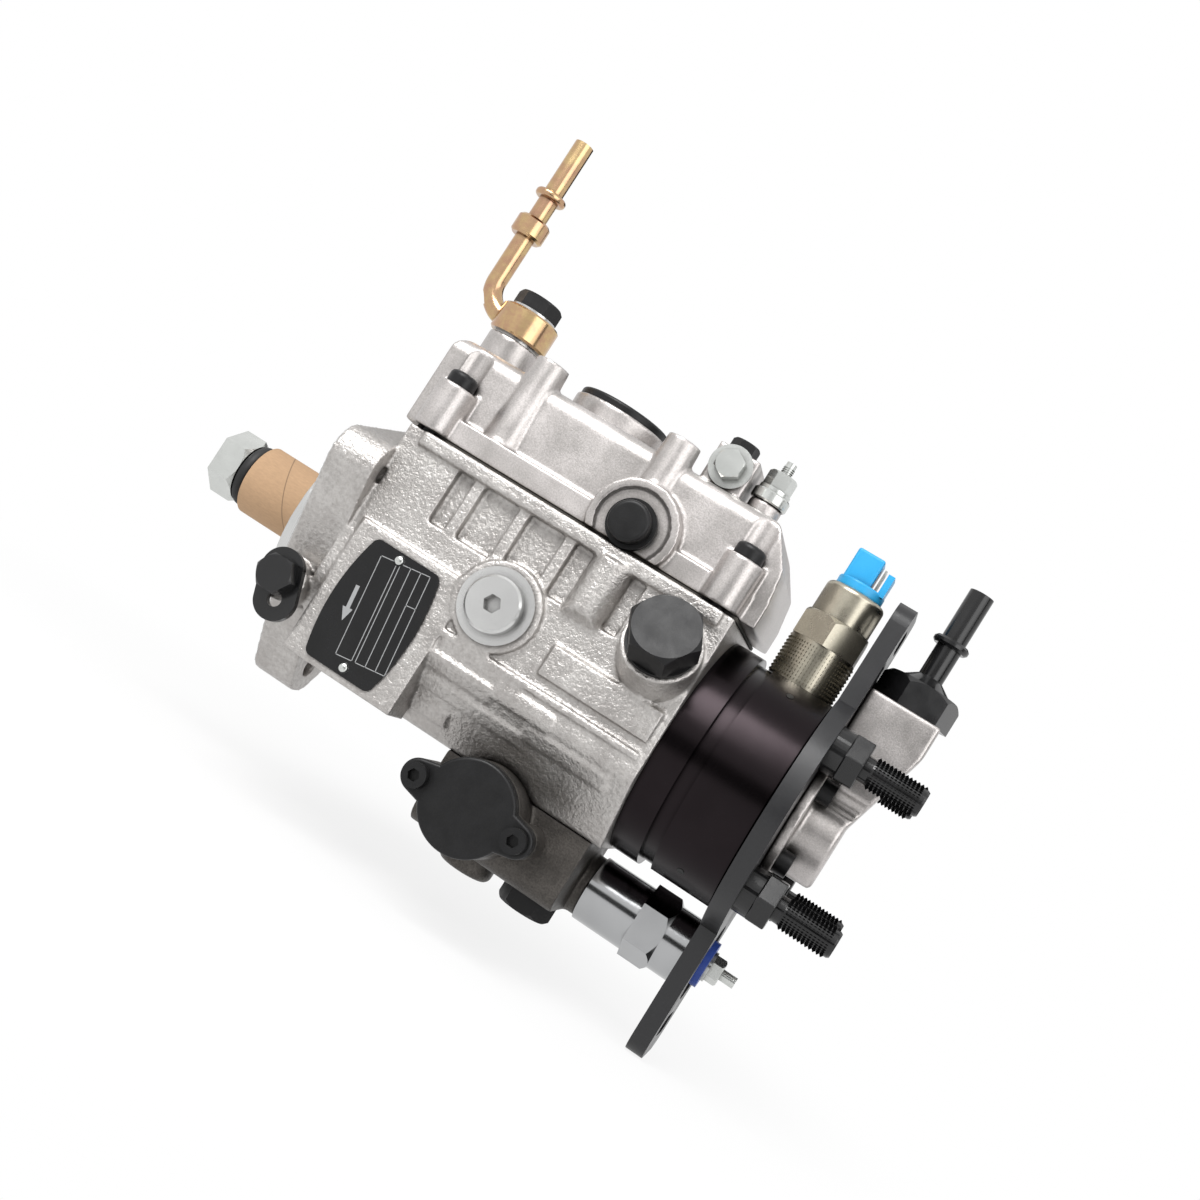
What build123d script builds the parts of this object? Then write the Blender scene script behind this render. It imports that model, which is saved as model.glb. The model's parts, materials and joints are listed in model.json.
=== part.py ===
"""Distributor type diesel injection pump for a four cylinder engine.

Frame: millimetres, +Z up. The drive shaft axis is the X axis and X = 0 is the
front mounting face of the flange, so the drive end points to -X and the
hydraulic head to +X. The name plate is on the -Y side.
"""
import os
from math import cos, radians, sin

from build123d import *

# ---------------------------------------------------------------- clearances
running_gap = 0.04          # radial clearance of a turning or sliding fit
beyond = 400.0              # past every piece, for cuts that run right through
free_gap = 0.3              # clearance where two bodies pass each other
hole_gap = 0.3              # radial clearance of a screw in a plain hole

# ------------------------------------------------------------ housing casting
flange_thick = 18.0
flange_disc_r = 43.0
flange_ear_r = 11.5
flange_bolt_r = 50.0        # three M10 holes, 120 degrees apart
flange_hole_r = 4.3
flange_crown_r = 18.0
flange_top_z = 46.5
spigot_r = 37.5             # pilot that centres the pump in the timing case
spigot_len = 6.5
spigot_bore_r = 24.0
spigot_bore_depth = 11.0
housing_end_x = 154.0
housing_half_w = 46.0
housing_top_z = 47.0
housing_base_z = 45.0       # depth of the flat underside below the axis
housing_base_half_w = 25.0
housing_side_z = 18.0       # depth at which the sides turn in
housing_corner_r = 6.0
cam_bore_r = 36.5           # bore for the cam ring and the head
cam_bore_start_x = 38.0
cover_opening_half_w = 24.0
cover_opening_x0 = 32.0
cover_opening_x1 = 144.0

rail_x0, rail_x1 = 24.0, 150.0
rail_z0 = 41.5
rail_proud = 2.5
recess_x0, recess_x1 = 42.0, 122.0
recess_z0 = 20.0
recess_depth = 4.0
rib_width = 4.6
rib_x = (49.0, 68.5, 88.0)
rib_z0 = 15.0

capsule_x, capsule_width = 108.0, 15.6
capsule_z0 = 7.0
capsule_proud = 5.0
capsule_slant = 40.0        # lean of the boss's flat end from level
brick_proud = 0.9
brick_inner_y = 24.0
brick_places = ((70.5, 104.0, -14.0, -10.5), (30.0, 96.0, -23.0, -17.5), (96.0, 120.0, -20.5, -14.0),
                (34.0, 112.0, -30.4, -26.0), (112.0, 146.0, -27.0, -22.0), (60.0, 84.0, -39.5, -34.5))

plate_pad_x0, plate_pad_x1 = 22.0, 69.0
plate_pad_z0, plate_pad_z1 = -45.0, 9.0
plate_pad_proud = 1.6
plate_pad_y = -(housing_half_w + plate_pad_proud)

block_pad_x0, block_pad_x1 = 106.0, 151.0
block_pad_z0, block_pad_z1 = -4.5, 7.0
block_pad_proud = 2.2

ledge_z = -9.0
ledge_height = 2.4
ledge_proud = 1.6
ledge_setback = 3.0

# ------------------------------------------------------------ side plugs
inspection_x, inspection_z = 81.3, 7.3
inspection_boss_r = 16.5
inspection_proud = 2.4
inspection_face_y = -(housing_half_w + inspection_proud)
inspection_washer_r = 14.0
inspection_washer_t = 1.6
inspection_head_r = 10.3
inspection_head_t = 5.0
inspection_shank_r = 8.0
inspection_shank_len = 9.0
inspection_socket_af = 6.0
inspection_socket_depth = 3.6

fitting_angle = 26.0        # elevation of the radial head locating fitting
fitting_x = 138.8
fitting_boss_r = 14.5
fitting_boss_top = 60.0     # distance of the boss face from the pump axis
fitting_washer_t = 1.5
fitting_washer_r = 13.0
fitting_af = 24.0
fitting_head_t = 11.0
fitting_shank_r = 8.0
fitting_shank_end = 37.5

lock_x, lock_z = 9.0, -24.5
lock_boss_setback = 0.5     # the boss stays behind the mounting face
lock_boss_r = lock_x - lock_boss_setback
lock_boss_proud = 2.5
lock_boss_y = -(housing_half_w + lock_boss_proud)
lock_spacer_t = 3.0
lock_spacer_r = 8.0
lock_spacer_pitch = 10.0
lock_spacer_lean = 70.0     # angle of the spacer's long axis below horizontal
lock_screw_r = 4.0
lock_screw_af = 13.0
lock_head_t = 6.5
lock_collar_r = 7.2
lock_collar_t = 1.5
lock_screw_reach = 24.0

# ------------------------------------------------------------ name plate
name_plate_x0, name_plate_x1 = 27.5, 62.0
name_plate_z0, name_plate_z1 = -42.5, 5.5
name_plate_bulge = 3.5
name_plate_t = 0.8
rivet_r, rivet_head_t = 2.0, 0.9
rivet_shank_r, rivet_shank_len = 1.1, 4.0
rivet_places = ((42.5, 2.6), (46.5, -39.6))

# ------------------------------------------------------------ control cover
gasket_t = 1.2
cover_x0, cover_x1 = 10.0, 160.0
cover_half_w = 37.0
cover_top_z = 85.5
cover_wall = 4.0
cover_corner_r = 9.0
cover_shoulder_x = 148.0    # where the rear of the roof starts to fall
cover_shoulder_drop = 15.0
foot_half_w = 42.0
foot_x0, foot_x1 = 13.0, 155.0
foot_height = 9.0
lug_r = 7.5
lug_x = (23.0, 145.5)
lug_top_z = 67.0
cover_screw_r = 3.0
cover_screw_head_r = 5.6
cover_screw_head_t = 5.4
cover_screw_reach = 14.0
cover_screw_socket_af = 5.0

banjo_x, banjo_top_z = 17.0, 97.5
banjo_boss_r = 11.0
banjo_boss_z0 = 58.0
post_x, post_y = (46.0, 103.0), -32.5
post_r, post_foot_r, post_top_z = 6.6, 8.4, 93.2
crown_x, crown_r, crown_top_z = 70.0, 20.0, 93.6
crown_cap_r, crown_cap_t, crown_plug_r, crown_plug_len = 19.0, 3.0, 14.0, 6.0
side_boss_x, side_boss_z, side_boss_r = 105.5, 56.5, 17.0
side_boss_proud = 3.0        # how far the side bosses stand out past the foot
side_boss_y = foot_half_w + side_boss_proud
side_recess_r, side_recess_depth = 13.6, 1.6
side_plug_r, side_plug_base_r = 7.6, 9.2
side_plug_t, side_plug_base_t = 9.0, 3.0
throttle_shaft_r = 5.0

vent_x0, vent_x1 = 112.5, 129.0
vent_y0, vent_y1 = -26.0, 4.0
vent_top_z = 101.5
vent_screw_z, vent_screw_x = 94.6, 120.6
vent_washer_r, vent_washer_t = 8.2, 1.4
vent_screw_af, vent_screw_head_t = 10.0, 5.0
vent_screw_r, vent_screw_reach = 3.0, 12.0
stop_x, stop_y = 118.0, -8.0
stop_af, stop_head_t, stop_r, stop_reach = 10.0, 6.8, 3.0, 16.0

stud_x, stud_y = 137.0, -14.0
stud_boss_r, stud_boss_top_z = 6.4, 91.4
stud_collar_r, stud_collar_t = 7.3, 4.4
stud_washer_r, stud_washer_t = 6.2, 1.6
stud_nut_af, stud_nut_t = 10.0, 6.4
stud_r, stud_top_z, stud_reach = 2.0, 109.0, 14.0

# ------------------------------------------------------------ return pipe
pipe_r, pipe_bore_r = 4.0, 2.8
pipe_front_x = -3.5
pipe_bend_r = 11.5
pipe_top_z = 180.0
pipe_collar_z, pipe_collar_h, pipe_collar_r = 136.0, 8.2, 7.0
pipe_bead_z, pipe_bead_r, pipe_bead_h = 153.5, 6.6, 3.0
pipe_bore_below_bead = 60.0
banjo_ring_r, banjo_ring_h = 12.3, 11.6
banjo_bore_r = 6.5
seal_t, seal_r = 1.2, 9.6
banjo_bolt_r, banjo_bolt_af, banjo_head_t = 6.0, 17.0, 6.2
banjo_bolt_reach = 12.0

# ------------------------------------------------------------ hydraulic head
head_r = 43.7
head_flange_x1 = 165.6
head_groove_x1 = 171.4
head_groove_depth = 2.6
head_end_x = 196.4
head_front_x = 126.0
head_flat_z = 41.3
head_low_flat_z = -41.8
rotor_stem_r = 9.0
head_oring_x, head_oring_r = 148.0, 1.4

solenoid_x = 181.0
solenoid_low_r, solenoid_low_top = 13.0, 58.0
solenoid_af, solenoid_hex_top = 25.0, 69.0
solenoid_up_r, solenoid_up_top = 11.8, 82.0
solenoid_corner_r = 2.2
solenoid_port_r, solenoid_port_floor = 8.0, 14.0
solenoid_ring_r, solenoid_ring_t = 9.4, 3.6
solenoid_cap_len, solenoid_cap_w, solenoid_cap_top = 11.0, 12.0, 97.0
solenoid_prong_t, solenoid_prong_top = 2.6, 93.5
solenoid_prong_gap = 3.2
spade_w, spade_t, spade_top = 6.3, 0.8, 94.5
plunger_r, plunger_z0, plunger_z1, plunger_travel = 4.0, 15.5, 34.0, 1.2
plunger_bore_top = 40.0

# ------------------------------------------------------------ rear plate
plate_t = 7.0
plate_r = 50.0
plate_top_z, plate_top_half_w = 86.0, 20.0
plate_low_z, plate_low_y0, plate_low_y1 = -101.0, -8.0, 34.0
plate_corner_r = 9.0
plate_slot_len, plate_slot_w = 20.0, 9.0
plate_slot_z = (74.5, 54.0)
plate_low_slot_z = -88.0
plate_low_slot_len = 22.0
plate_window_r = 15.6
plate_centre_r = 15.8

# ------------------------------------------------------------ outlets and end plate
outlet_circle_r = 39.6
outlet_collar_r, outlet_collar_t = 9.0, 5.5
outlet_af, outlet_hex_t = 17.5, 7.2
outlet_neck_r, outlet_neck_t = 4.9, 2.8
outlet_thread_r, outlet_end_x = 6.0, 239.5
outlet_shank_wall = 0.5       # head metal left between a connector's shank and the head's rim
outlet_shank_r = head_r - outlet_circle_r - outlet_shank_wall
outlet_shank_len = 18.0
outlet_bore_r = 2.0
outlet_cone_r, outlet_cone_len = 3.8, 4.0

end_flange_r, end_flange_t = 28.6, 4.0
end_boss_r, end_boss_x = 18.2, 222.0
end_block_half_w, end_block_top_z, end_block_x1 = 15.5, 54.4, 231.6
end_screw_circle_r, end_screw_r, end_screw_head_r, end_screw_head_t = 23.4, 2.5, 4.6, 5.2
end_screw_reach = 15.0
end_screw_socket_af = 4.0
liner_r, liner_len, liner_bore_r, liner_offset = 15.5, 12.4, 12.6, 1.4
transfer_rotor_r, blade_t, blade_reach = 10.6, 2.0, 11.0
blade_depth, blade_slot_depth = 4.0, 4.2   # how deep the blades and their slots reach in
rotor_tail_r = 5.0

inlet_x = 219.0
inlet_af, inlet_hex_t = 27.0, 11.0
inlet_spigot_r, inlet_spigot_len = 9.0, 8.0
inlet_body_r, inlet_body_t = 10.5, 4.0
inlet_tube_r, inlet_bore_r, inlet_top_z = 4.75, 3.2, 105.0
inlet_bead_r, inlet_bead_z, inlet_bead_h = 7.0, 82.0, 3.0
regulator_r, regulator_len, regulator_z0, regulator_travel = 4.0, 8.0, 22.5, 4.0

# ------------------------------------------------------------ advance unit
advance_x, advance_z = 111.0, -56.2
advance_half_len = 44.0
advance_r, advance_bore_r = 17.5, 11.0
advance_block_x0, advance_block_x1 = 88.0, 150.0
advance_block_half_w = 24.0
advance_floor_z = -74.0
advance_lump_r, advance_lump_z = 11.0, -81.5
advance_neck_r = 12.0
advance_cover_t = 5.5
advance_ear_pitch, advance_ear_r = 20.6, 6.2
advance_screw_r, advance_screw_head_r, advance_screw_head_t = 2.5, 4.6, 4.4
advance_screw_reach = 14.0
advance_screw_socket_af = 4.0
advance_gasket_t = 0.8
advance_piston_half_len = 20.0
advance_travel = 4.0
advance_bolt_x, advance_bolt_af, advance_bolt_head_t = 138.0, 19.0, 7.5
advance_bolt_r, advance_bolt_reach = 5.0, 36.0
advance_spring_r, spring_wire_r = 8.0, 1.0

cold_y, cold_z, cold_r = 12.0, -61.8, 13.0
cold_x1 = 202.6
cold_hex_x0, cold_hex_x1, cold_af = 175.0, 187.0, 26.0
cold_disc_r, cold_disc_t = 9.2, 3.0
cold_washer_r, cold_washer_t = 6.0, 1.2
cold_nut_af, cold_nut_t = 9.0, 4.5
cold_stud_r, cold_stud_len = 2.2, 11.5

# ------------------------------------------------------------ drive line
shaft_r = 12.5
shaft_thread_r, shaft_thread_x0 = 7.95, -60.0
shaft_taper_x0, shaft_taper_r0 = -41.0, 9.0
shaft_taper_x1 = -9.0
shaft_guide_r = 10.0
shaft_end_x = 96.0
shaft_drive_r, shaft_drive_x0 = 15.0, 89.5
key_w, key_len, key_proud = 4.0, 14.0, 1.6
nut_af, nut_x0, nut_x1 = 24.0, -57.5, -46.6
oring_r, oring_wire_r = 10.2, 2.7
tube_x0, tube_x1 = -41.0, -1.5
tube_r, tube_wall = 14.5, 1.0
seal_x0, seal_x1, seal_outer_r = 5.5, 13.5, 19.0
bush_x0, bush_x1, bush_outer_r = 14.5, 37.5, 16.0

carrier_x0, carrier_t, carrier_r = 40.0, 4.0, 33.0
carrier_arm_len, carrier_arm_t = 20.0, 3.0
weight_count = 4
weight_x0, weight_len = 46.5, 17.5
weight_inner_r, weight_outer_r = 15.4, 29.0
weight_width = 15.0
weight_toe_t, weight_toe_r, weight_toe_w = 3.7, 11.0, 6.0
sleeve_x0, sleeve_len, sleeve_outer_r = 50.5, 31.5, 13.6

rotor_head_x0, rotor_head_x1, rotor_head_r = 97.0, 124.0, 20.0
rotor_tongue_w, rotor_tongue_len = 6.0, 5.0
cam_x0, cam_x1 = 101.0, 121.0
cam_outer_r, cam_inner_r, cam_lobe_drop = cam_bore_r - running_gap, 28.0, 2.4
cam_lobe_r = 14.0
roller_r, roller_len, roller_circle_r = 4.0, 16.0, 21.0
shoe_half_w, shoe_inner_r, shoe_outer_r = 6.0, 10.0, 19.0
plunger_pair_r = 3.5
cam_pin_r, cam_pin_ball_r = 3.4, 4.4

# ------------------------------------------------------------ governor linkage
arm_pivot_x, arm_pivot_z = 90.0, 52.5
arm_t, arm_half_w = 2.5, 9.0
arm_low_z = 8.0
arm_face_x = 82.3
pivot_pin_r = 2.0
arm_journal_len = 6.0
metering_x, metering_y, metering_r = 136.0, 12.0, 3.5
metering_z0, metering_z1 = 16.0, 52.0
metering_lever_len, metering_lever_t = 12.0, 2.5
throttle_x, throttle_z = side_boss_x, side_boss_z
lever_t, lever_len, lever_hub_r, lever_tip_r = 4.0, 26.0, 9.0, 5.5
lever_hole_r = 3.0
throttle_nut_af, throttle_nut_t = 10.0, 5.0
crank_len, crank_t, crank_w = 11.0, 3.0, 6.0


# ================================================================ small helpers
def along_x(radius, x0, x1, y=0.0, z=0.0):
    """Round bar along X from x0 to x1."""
    return Location((x0, y, z), (0, 90, 0)) * Cylinder(
        radius, x1 - x0, align=(Align.CENTER, Align.CENTER, Align.MIN))


def along_y(radius, y0, y1, x=0.0, z=0.0):
    """Round bar along Y from y0 to y1."""
    return Location((x, y0, z), (-90, 0, 0)) * Cylinder(
        radius, y1 - y0, align=(Align.CENTER, Align.CENTER, Align.MIN))


def along_z(radius, z0, z1, x=0.0, y=0.0):
    """Round bar along Z from z0 to z1."""
    return Location((x, y, z0)) * Cylinder(
        radius, z1 - z0, align=(Align.CENTER, Align.CENTER, Align.MIN))


def block(x0, x1, y0, y1, z0, z1):
    """Box between two corners."""
    return Location(((x0 + x1) / 2, (y0 + y1) / 2, (z0 + z1) / 2)) * Box(x1 - x0, y1 - y0, z1 - z0)


def hex_prism(across_flats, height, turn=0.0):
    """Hexagonal bar on the XY plane, standing on +Z, with a chamfered free end."""
    sketch = RegularPolygon(across_flats / 2, 6, major_radius=False, rotation=turn)
    bar = extrude(sketch, height)
    cone = Cone(across_flats / 2 + height, across_flats / 2 - 0.4, height + 0.4,
                align=(Align.CENTER, Align.CENTER, Align.MIN))
    return bar & cone


def yz_prism(outline, x0, x1):
    """Extrude a sketch drawn in (Y, Z) along X."""
    plane = Plane(origin=(x0, 0, 0), x_dir=(0, 1, 0), z_dir=(1, 0, 0))
    return extrude(plane * outline, x1 - x0)


def toward_minus_y(x, y, z):
    """Location whose +Z points to -Y, the name plate side."""
    return Location((x, y, z), (90, 0, 0))


def toward_plus_x(x, y, z):
    """Location whose +Z points along the pump axis to the rear."""
    return Location((x, y, z), (0, 90, 0))


def ring_along_x(outer_r, inner_r, x0, x1):
    """Plain ring about the pump axis."""
    return along_x(outer_r, x0, x1) - along_x(inner_r, x0 - 1, x1 + 1)


def polar(radius, degrees):
    """(Y, Z) of a point on a circle about the pump axis, 0 degrees at +Y."""
    return radius * cos(radians(degrees)), radius * sin(radians(degrees))


# ================================================================ housing
def flange_places():
    """(Y, Z) of the three flange holes: two above, one below."""
    return [polar(flange_bolt_r, angle) for angle in (30, 150, 270)]


def flange_outline():
    """Three-eared flange: a disc, its ears and a flat crown under the cover."""
    circles = Sketch() + Circle(flange_disc_r)
    for y, z in flange_places():
        circles += Pos(y, z) * Circle(flange_ear_r)
    circles += Pos(0, flange_top_z - flange_crown_r) * Circle(flange_crown_r)
    return make_hull(circles.edges())


def housing_section():
    """Body section: flat sides, turned in below to a flat underside."""
    points = [(housing_half_w, housing_top_z), (housing_half_w, -housing_side_z),
              (housing_base_half_w, -housing_base_z), (-housing_base_half_w, -housing_base_z),
              (-housing_half_w, -housing_side_z), (-housing_half_w, housing_top_z)]
    section = make_face(Polyline(*points, close=True))
    low = section.vertices().filter_by(lambda v: v.Y < 0)
    return fillet(low, housing_corner_r)


def housing_body():
    """Outer casting before the bores: flange, body, pilot spigot."""
    body = yz_prism(housing_section(), flange_thick - 1, housing_end_x)
    flange = yz_prism(flange_outline(), 0, flange_thick)
    flange &= block(-1, flange_thick + 1, -beyond, beyond, -beyond, flange_top_z)
    spigot = along_x(spigot_r, -spigot_len, 1)
    return body + flange + spigot


def side_relief():
    """Wide shallow recesses on both sides, to leave the ribs standing."""
    cut = Part()
    for side in (-1, 1):
        y_skin = side * housing_half_w
        y_floor = side * (housing_half_w - recess_depth)
        y0, y1 = sorted((y_skin + side, y_floor))
        cut += block(recess_x0, recess_x1, y0, y1, recess_z0, rail_z0)
    return cut


def half_round_boss(side):
    """Half-round boss that runs down from the rail and ends in a slanted flat."""
    radius = capsule_width / 2
    axis_y = side * (housing_half_w + capsule_proud - radius)
    boss = along_z(radius, capsule_z0, rail_z0 + 1, capsule_x, axis_y)
    slant = Location((capsule_x, axis_y, capsule_z0 + radius), (side * capsule_slant, 0, 0))
    return boss - slant * Box(capsule_width + 2, 4 * radius, 4 * radius,
                              align=(Align.CENTER, Align.CENTER, Align.MAX))


def relief_bricks(side):
    """Stepped cast relief on the lower side: low bricks that follow the section round its corner."""
    skin = make_face(offset(housing_section().wires()[0], brick_proud))
    bricks = Part()
    for x0, x1, z0, z1 in brick_places:
        slab = yz_prism(skin, x0, x1)
        bricks += slab & block(x0, x1, *sorted((side * brick_inner_y, side * beyond)), z0, z1)
    return bricks


def side_forms():
    """Rails, ribs, capsule bosses, pads and ledges cast on the sides."""
    forms = Part()
    for side in (-1, 1):
        skin = side * housing_half_w
        floor = side * (housing_half_w - recess_depth - 1)
        rail_y = side * (housing_half_w + rail_proud)
        forms += block(rail_x0, rail_x1, *sorted((floor, rail_y)), rail_z0, housing_top_z)
        for x in rib_x:
            forms += block(x, x + rib_width, *sorted((floor, skin)), rib_z0, rail_z0 + 1)
        ledge_y = side * (housing_half_w + ledge_proud)
        forms += block(plate_pad_x1, housing_end_x - ledge_setback, *sorted((floor, ledge_y)),
                       ledge_z - ledge_height, ledge_z)
        forms += half_round_boss(side)
        forms += relief_bricks(side)
    forms += along_y(inspection_boss_r, inspection_face_y, -40, inspection_x, inspection_z)
    forms += block(plate_pad_x0, plate_pad_x1, plate_pad_y, -30, plate_pad_z0, plate_pad_z1)
    forms += block(block_pad_x0, block_pad_x1, -housing_half_w - block_pad_proud, -40,
                   block_pad_z0, block_pad_z1)
    forms += along_y(lock_boss_r, lock_boss_y, -30, lock_x, lock_z)
    forms += along_y(inspection_boss_r - 4, 40, -inspection_face_y, inspection_x, inspection_z)
    return forms


def fitting_location(distance):
    """Location on the head locating fitting's axis, +Z pointing outward."""
    tilt = radians(fitting_angle)
    y, z = -distance * cos(tilt), distance * sin(tilt)
    return Location((fitting_x, y, z), (90 - fitting_angle, 0, 0))


def fitting_bar(radius, start, end):
    """Round bar on the fitting's axis between two distances from the pump axis."""
    return fitting_location(start) * Cylinder(
        radius, end - start, align=(Align.CENTER, Align.CENTER, Align.MIN))


def housing_bores():
    """Everything machined into the casting."""
    cut = along_x(cam_bore_r, cam_bore_start_x, housing_end_x + 1)
    cut += along_x(spigot_bore_r, -spigot_len - 1, spigot_bore_depth - spigot_len)
    cut += along_x(seal_outer_r, spigot_bore_depth - spigot_len - 1, bush_x0)
    cut += along_x(bush_outer_r, bush_x0 - 1, cam_bore_start_x + 1)
    cut += block(cover_opening_x0, cover_opening_x1, -cover_opening_half_w, cover_opening_half_w,
                 12, housing_top_z + 1) & block(
                     cam_bore_start_x, cover_opening_x1, -beyond, beyond, 12, housing_top_z + 1)
    for y, z in flange_places():
        cut += along_x(flange_hole_r, -1, flange_thick + 1, y, z)
    cut += along_y(inspection_shank_r, inspection_face_y - 1, -30, inspection_x, inspection_z)
    cut += fitting_bar(fitting_shank_r, fitting_shank_end - 5, fitting_boss_top + 1)
    cut += along_y(lock_screw_r, lock_boss_y - 1, lock_boss_y + lock_screw_reach, lock_x, lock_z)
    pin_room = cam_pin_ball_r + 3.5
    cut += block(advance_x - pin_room, advance_x + pin_room, -14, 14, -housing_base_z - 1, -20)
    cut += along_z(advance_bolt_r, -housing_base_z - 1, advance_bolt_top_z(), advance_bolt_x)
    for x, y in cover_screw_places():
        cut += along_z(cover_screw_r, housing_top_z - cover_screw_depth(), housing_top_z + 1, x, y)
    for x, z in rivet_places:
        cut += along_y(rivet_shank_r, plate_pad_y - 1, plate_pad_y + rivet_shank_len, x, z)
    return cut


def cover_screw_places():
    """(X, Y) of the four control cover screws, in the lugs."""
    y = foot_half_w - 1.5
    return [(x, side * y) for x in lug_x for side in (-1, 1)]


def cover_screw_depth():
    """How far a cover screw enters the housing."""
    return cover_screw_reach


def advance_bolt_top_z():
    """Top of the advance housing bolt, in the housing floor."""
    return advance_floor_z + advance_bolt_reach


def make_housing():
    """Pump body casting."""
    body = housing_body() - side_relief()
    body += side_forms()
    body += fitting_bar(fitting_boss_r, cam_bore_r - 2, fitting_boss_top)
    return body - housing_bores()


# ================================================================ side pieces
def make_inspection_plug():
    """Socket plug over the timing window."""
    y = inspection_face_y - inspection_washer_t
    head = along_y(inspection_head_r, y - inspection_head_t, y, inspection_x, inspection_z)
    head = chamfer(head.edges().filter_by(GeomType.CIRCLE).sort_by(Axis.Y)[0], 0.8)
    shank = along_y(inspection_shank_r, y, y + inspection_shank_len, inspection_x, inspection_z)
    socket = toward_minus_y(inspection_x, y - inspection_head_t + inspection_socket_depth,
                            inspection_z) * extrude(
        RegularPolygon(inspection_socket_af / 2, 6, major_radius=False), inspection_socket_depth + 1)
    return head + shank - socket


def make_plug_washer():
    """Sealing washer under the inspection plug."""
    y0, y1 = inspection_face_y - inspection_washer_t, inspection_face_y
    ring = along_y(inspection_washer_r, y0, y1, inspection_x, inspection_z)
    return ring - along_y(inspection_shank_r, y0 - 1, y1 + 1, inspection_x, inspection_z)


def make_fitting():
    """Head locating fitting: a hexagon screwed in radially to hold the head."""
    base = fitting_boss_top + fitting_washer_t
    head = fitting_location(base) * hex_prism(fitting_af, fitting_head_t)
    shank = fitting_bar(fitting_shank_r, fitting_shank_end, base)
    return head + shank


def make_fitting_washer():
    """Sealing washer of the head locating fitting."""
    ring = fitting_bar(fitting_washer_r, fitting_boss_top, fitting_boss_top + fitting_washer_t)
    return ring - fitting_bar(fitting_shank_r, fitting_boss_top - 1,
                              fitting_boss_top + fitting_washer_t + 1)


def make_lock_spacer():
    """Keyhole spacer that keeps the shaft lock screw off the drive shaft."""
    lean = radians(lock_spacer_lean)
    dx, dz = lock_spacer_pitch * cos(lean), -lock_spacer_pitch * sin(lean)
    x0, z0 = lock_x - dx * 0.15, lock_z - dz * 0.15
    small = Pos(x0 + dx, -(z0 + dz)) * Circle(lock_spacer_r)
    large = Pos(x0 - dx * 0.1, -(z0 - dz * 0.1)) * Circle(lock_spacer_r)
    outline = make_hull((Sketch() + small + large).edges())
    outline -= Pos(lock_x, -lock_z) * Circle(lock_screw_r)
    outline -= Pos(lock_x + dx * 0.85, -(lock_z + dz * 0.85)) * Circle(lock_screw_r * 0.7)
    plane = Plane(origin=(0, lock_boss_y, 0), x_dir=(1, 0, 0), z_dir=(0, 1, 0))
    return extrude(plane * outline, -lock_spacer_t)


def make_lock_screw():
    """Shaft lock screw with a flanged hexagon head."""
    y = lock_boss_y - lock_spacer_t
    collar = along_y(lock_collar_r, y - lock_collar_t, y, lock_x, lock_z)
    head = toward_minus_y(lock_x, y - lock_collar_t, lock_z) * hex_prism(
        lock_screw_af, lock_head_t - lock_collar_t)
    shank = along_y(lock_screw_r, y, lock_boss_y + lock_screw_reach - 4, lock_x, lock_z)
    return collar + head + shank


def name_plate_outline():
    """Barrel shape: straight top and foot, bulging sides, drawn in (X, Z)."""
    x0, x1 = name_plate_x0, name_plate_x1
    z0, z1 = name_plate_z0, name_plate_z1
    inset = name_plate_bulge
    middle = (z0 + z1) / 2
    top = Line((x0 + inset, z1), (x1 - inset, z1))
    right = ThreePointArc((x1 - inset, z1), (x1, middle), (x1 - inset, z0))
    foot = Line((x1 - inset, z0), (x0 + inset, z0))
    left = ThreePointArc((x0 + inset, z0), (x0, middle), (x0 + inset, z1))
    face = make_face(Curve() + [top, right, foot, left])
    return fillet(face.vertices(), 3.0)


def make_name_plate():
    """Blank barrel-shaped plate."""
    plane = Plane(origin=(0, plate_pad_y, 0), x_dir=(1, 0, 0), z_dir=(0, -1, 0))
    sheet = extrude(plane * name_plate_outline(), name_plate_t)
    for x, z in rivet_places:
        sheet -= along_y(rivet_shank_r, plate_pad_y - 3, plate_pad_y + 3, x, z)
    return sheet


def make_rivets():
    """Two drive rivets of the name plate."""
    rivets = []
    y = plate_pad_y - name_plate_t
    for x, z in rivet_places:
        head = along_y(rivet_r, y - rivet_head_t, y, x, z)
        head = fillet(head.edges().filter_by(GeomType.CIRCLE).sort_by(Axis.Y)[0], 0.6)
        rivets.append(head + along_y(rivet_shank_r, y, plate_pad_y + rivet_shank_len, x, z))
    return group(rivets)


# ================================================================ control cover
def cover_base_z():
    """Underside of the cover, on its gasket."""
    return housing_top_z + gasket_t


def make_gasket():
    """Flat gasket between the housing and the control cover."""
    x0, x1 = flange_thick, housing_end_x
    sheet = block(x0, x1, -foot_half_w, foot_half_w, housing_top_z, cover_base_z())
    half = cover_opening_half_w + 1
    sheet -= block(cover_opening_x0 - 1, cover_opening_x1 + 1, -half, half,
                   housing_top_z - 1, cover_base_z() + 1)
    for x, y in cover_screw_places():
        sheet -= along_z(cover_screw_r + hole_gap, housing_top_z - 1, cover_base_z() + 1, x, y)
    return sheet


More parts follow.
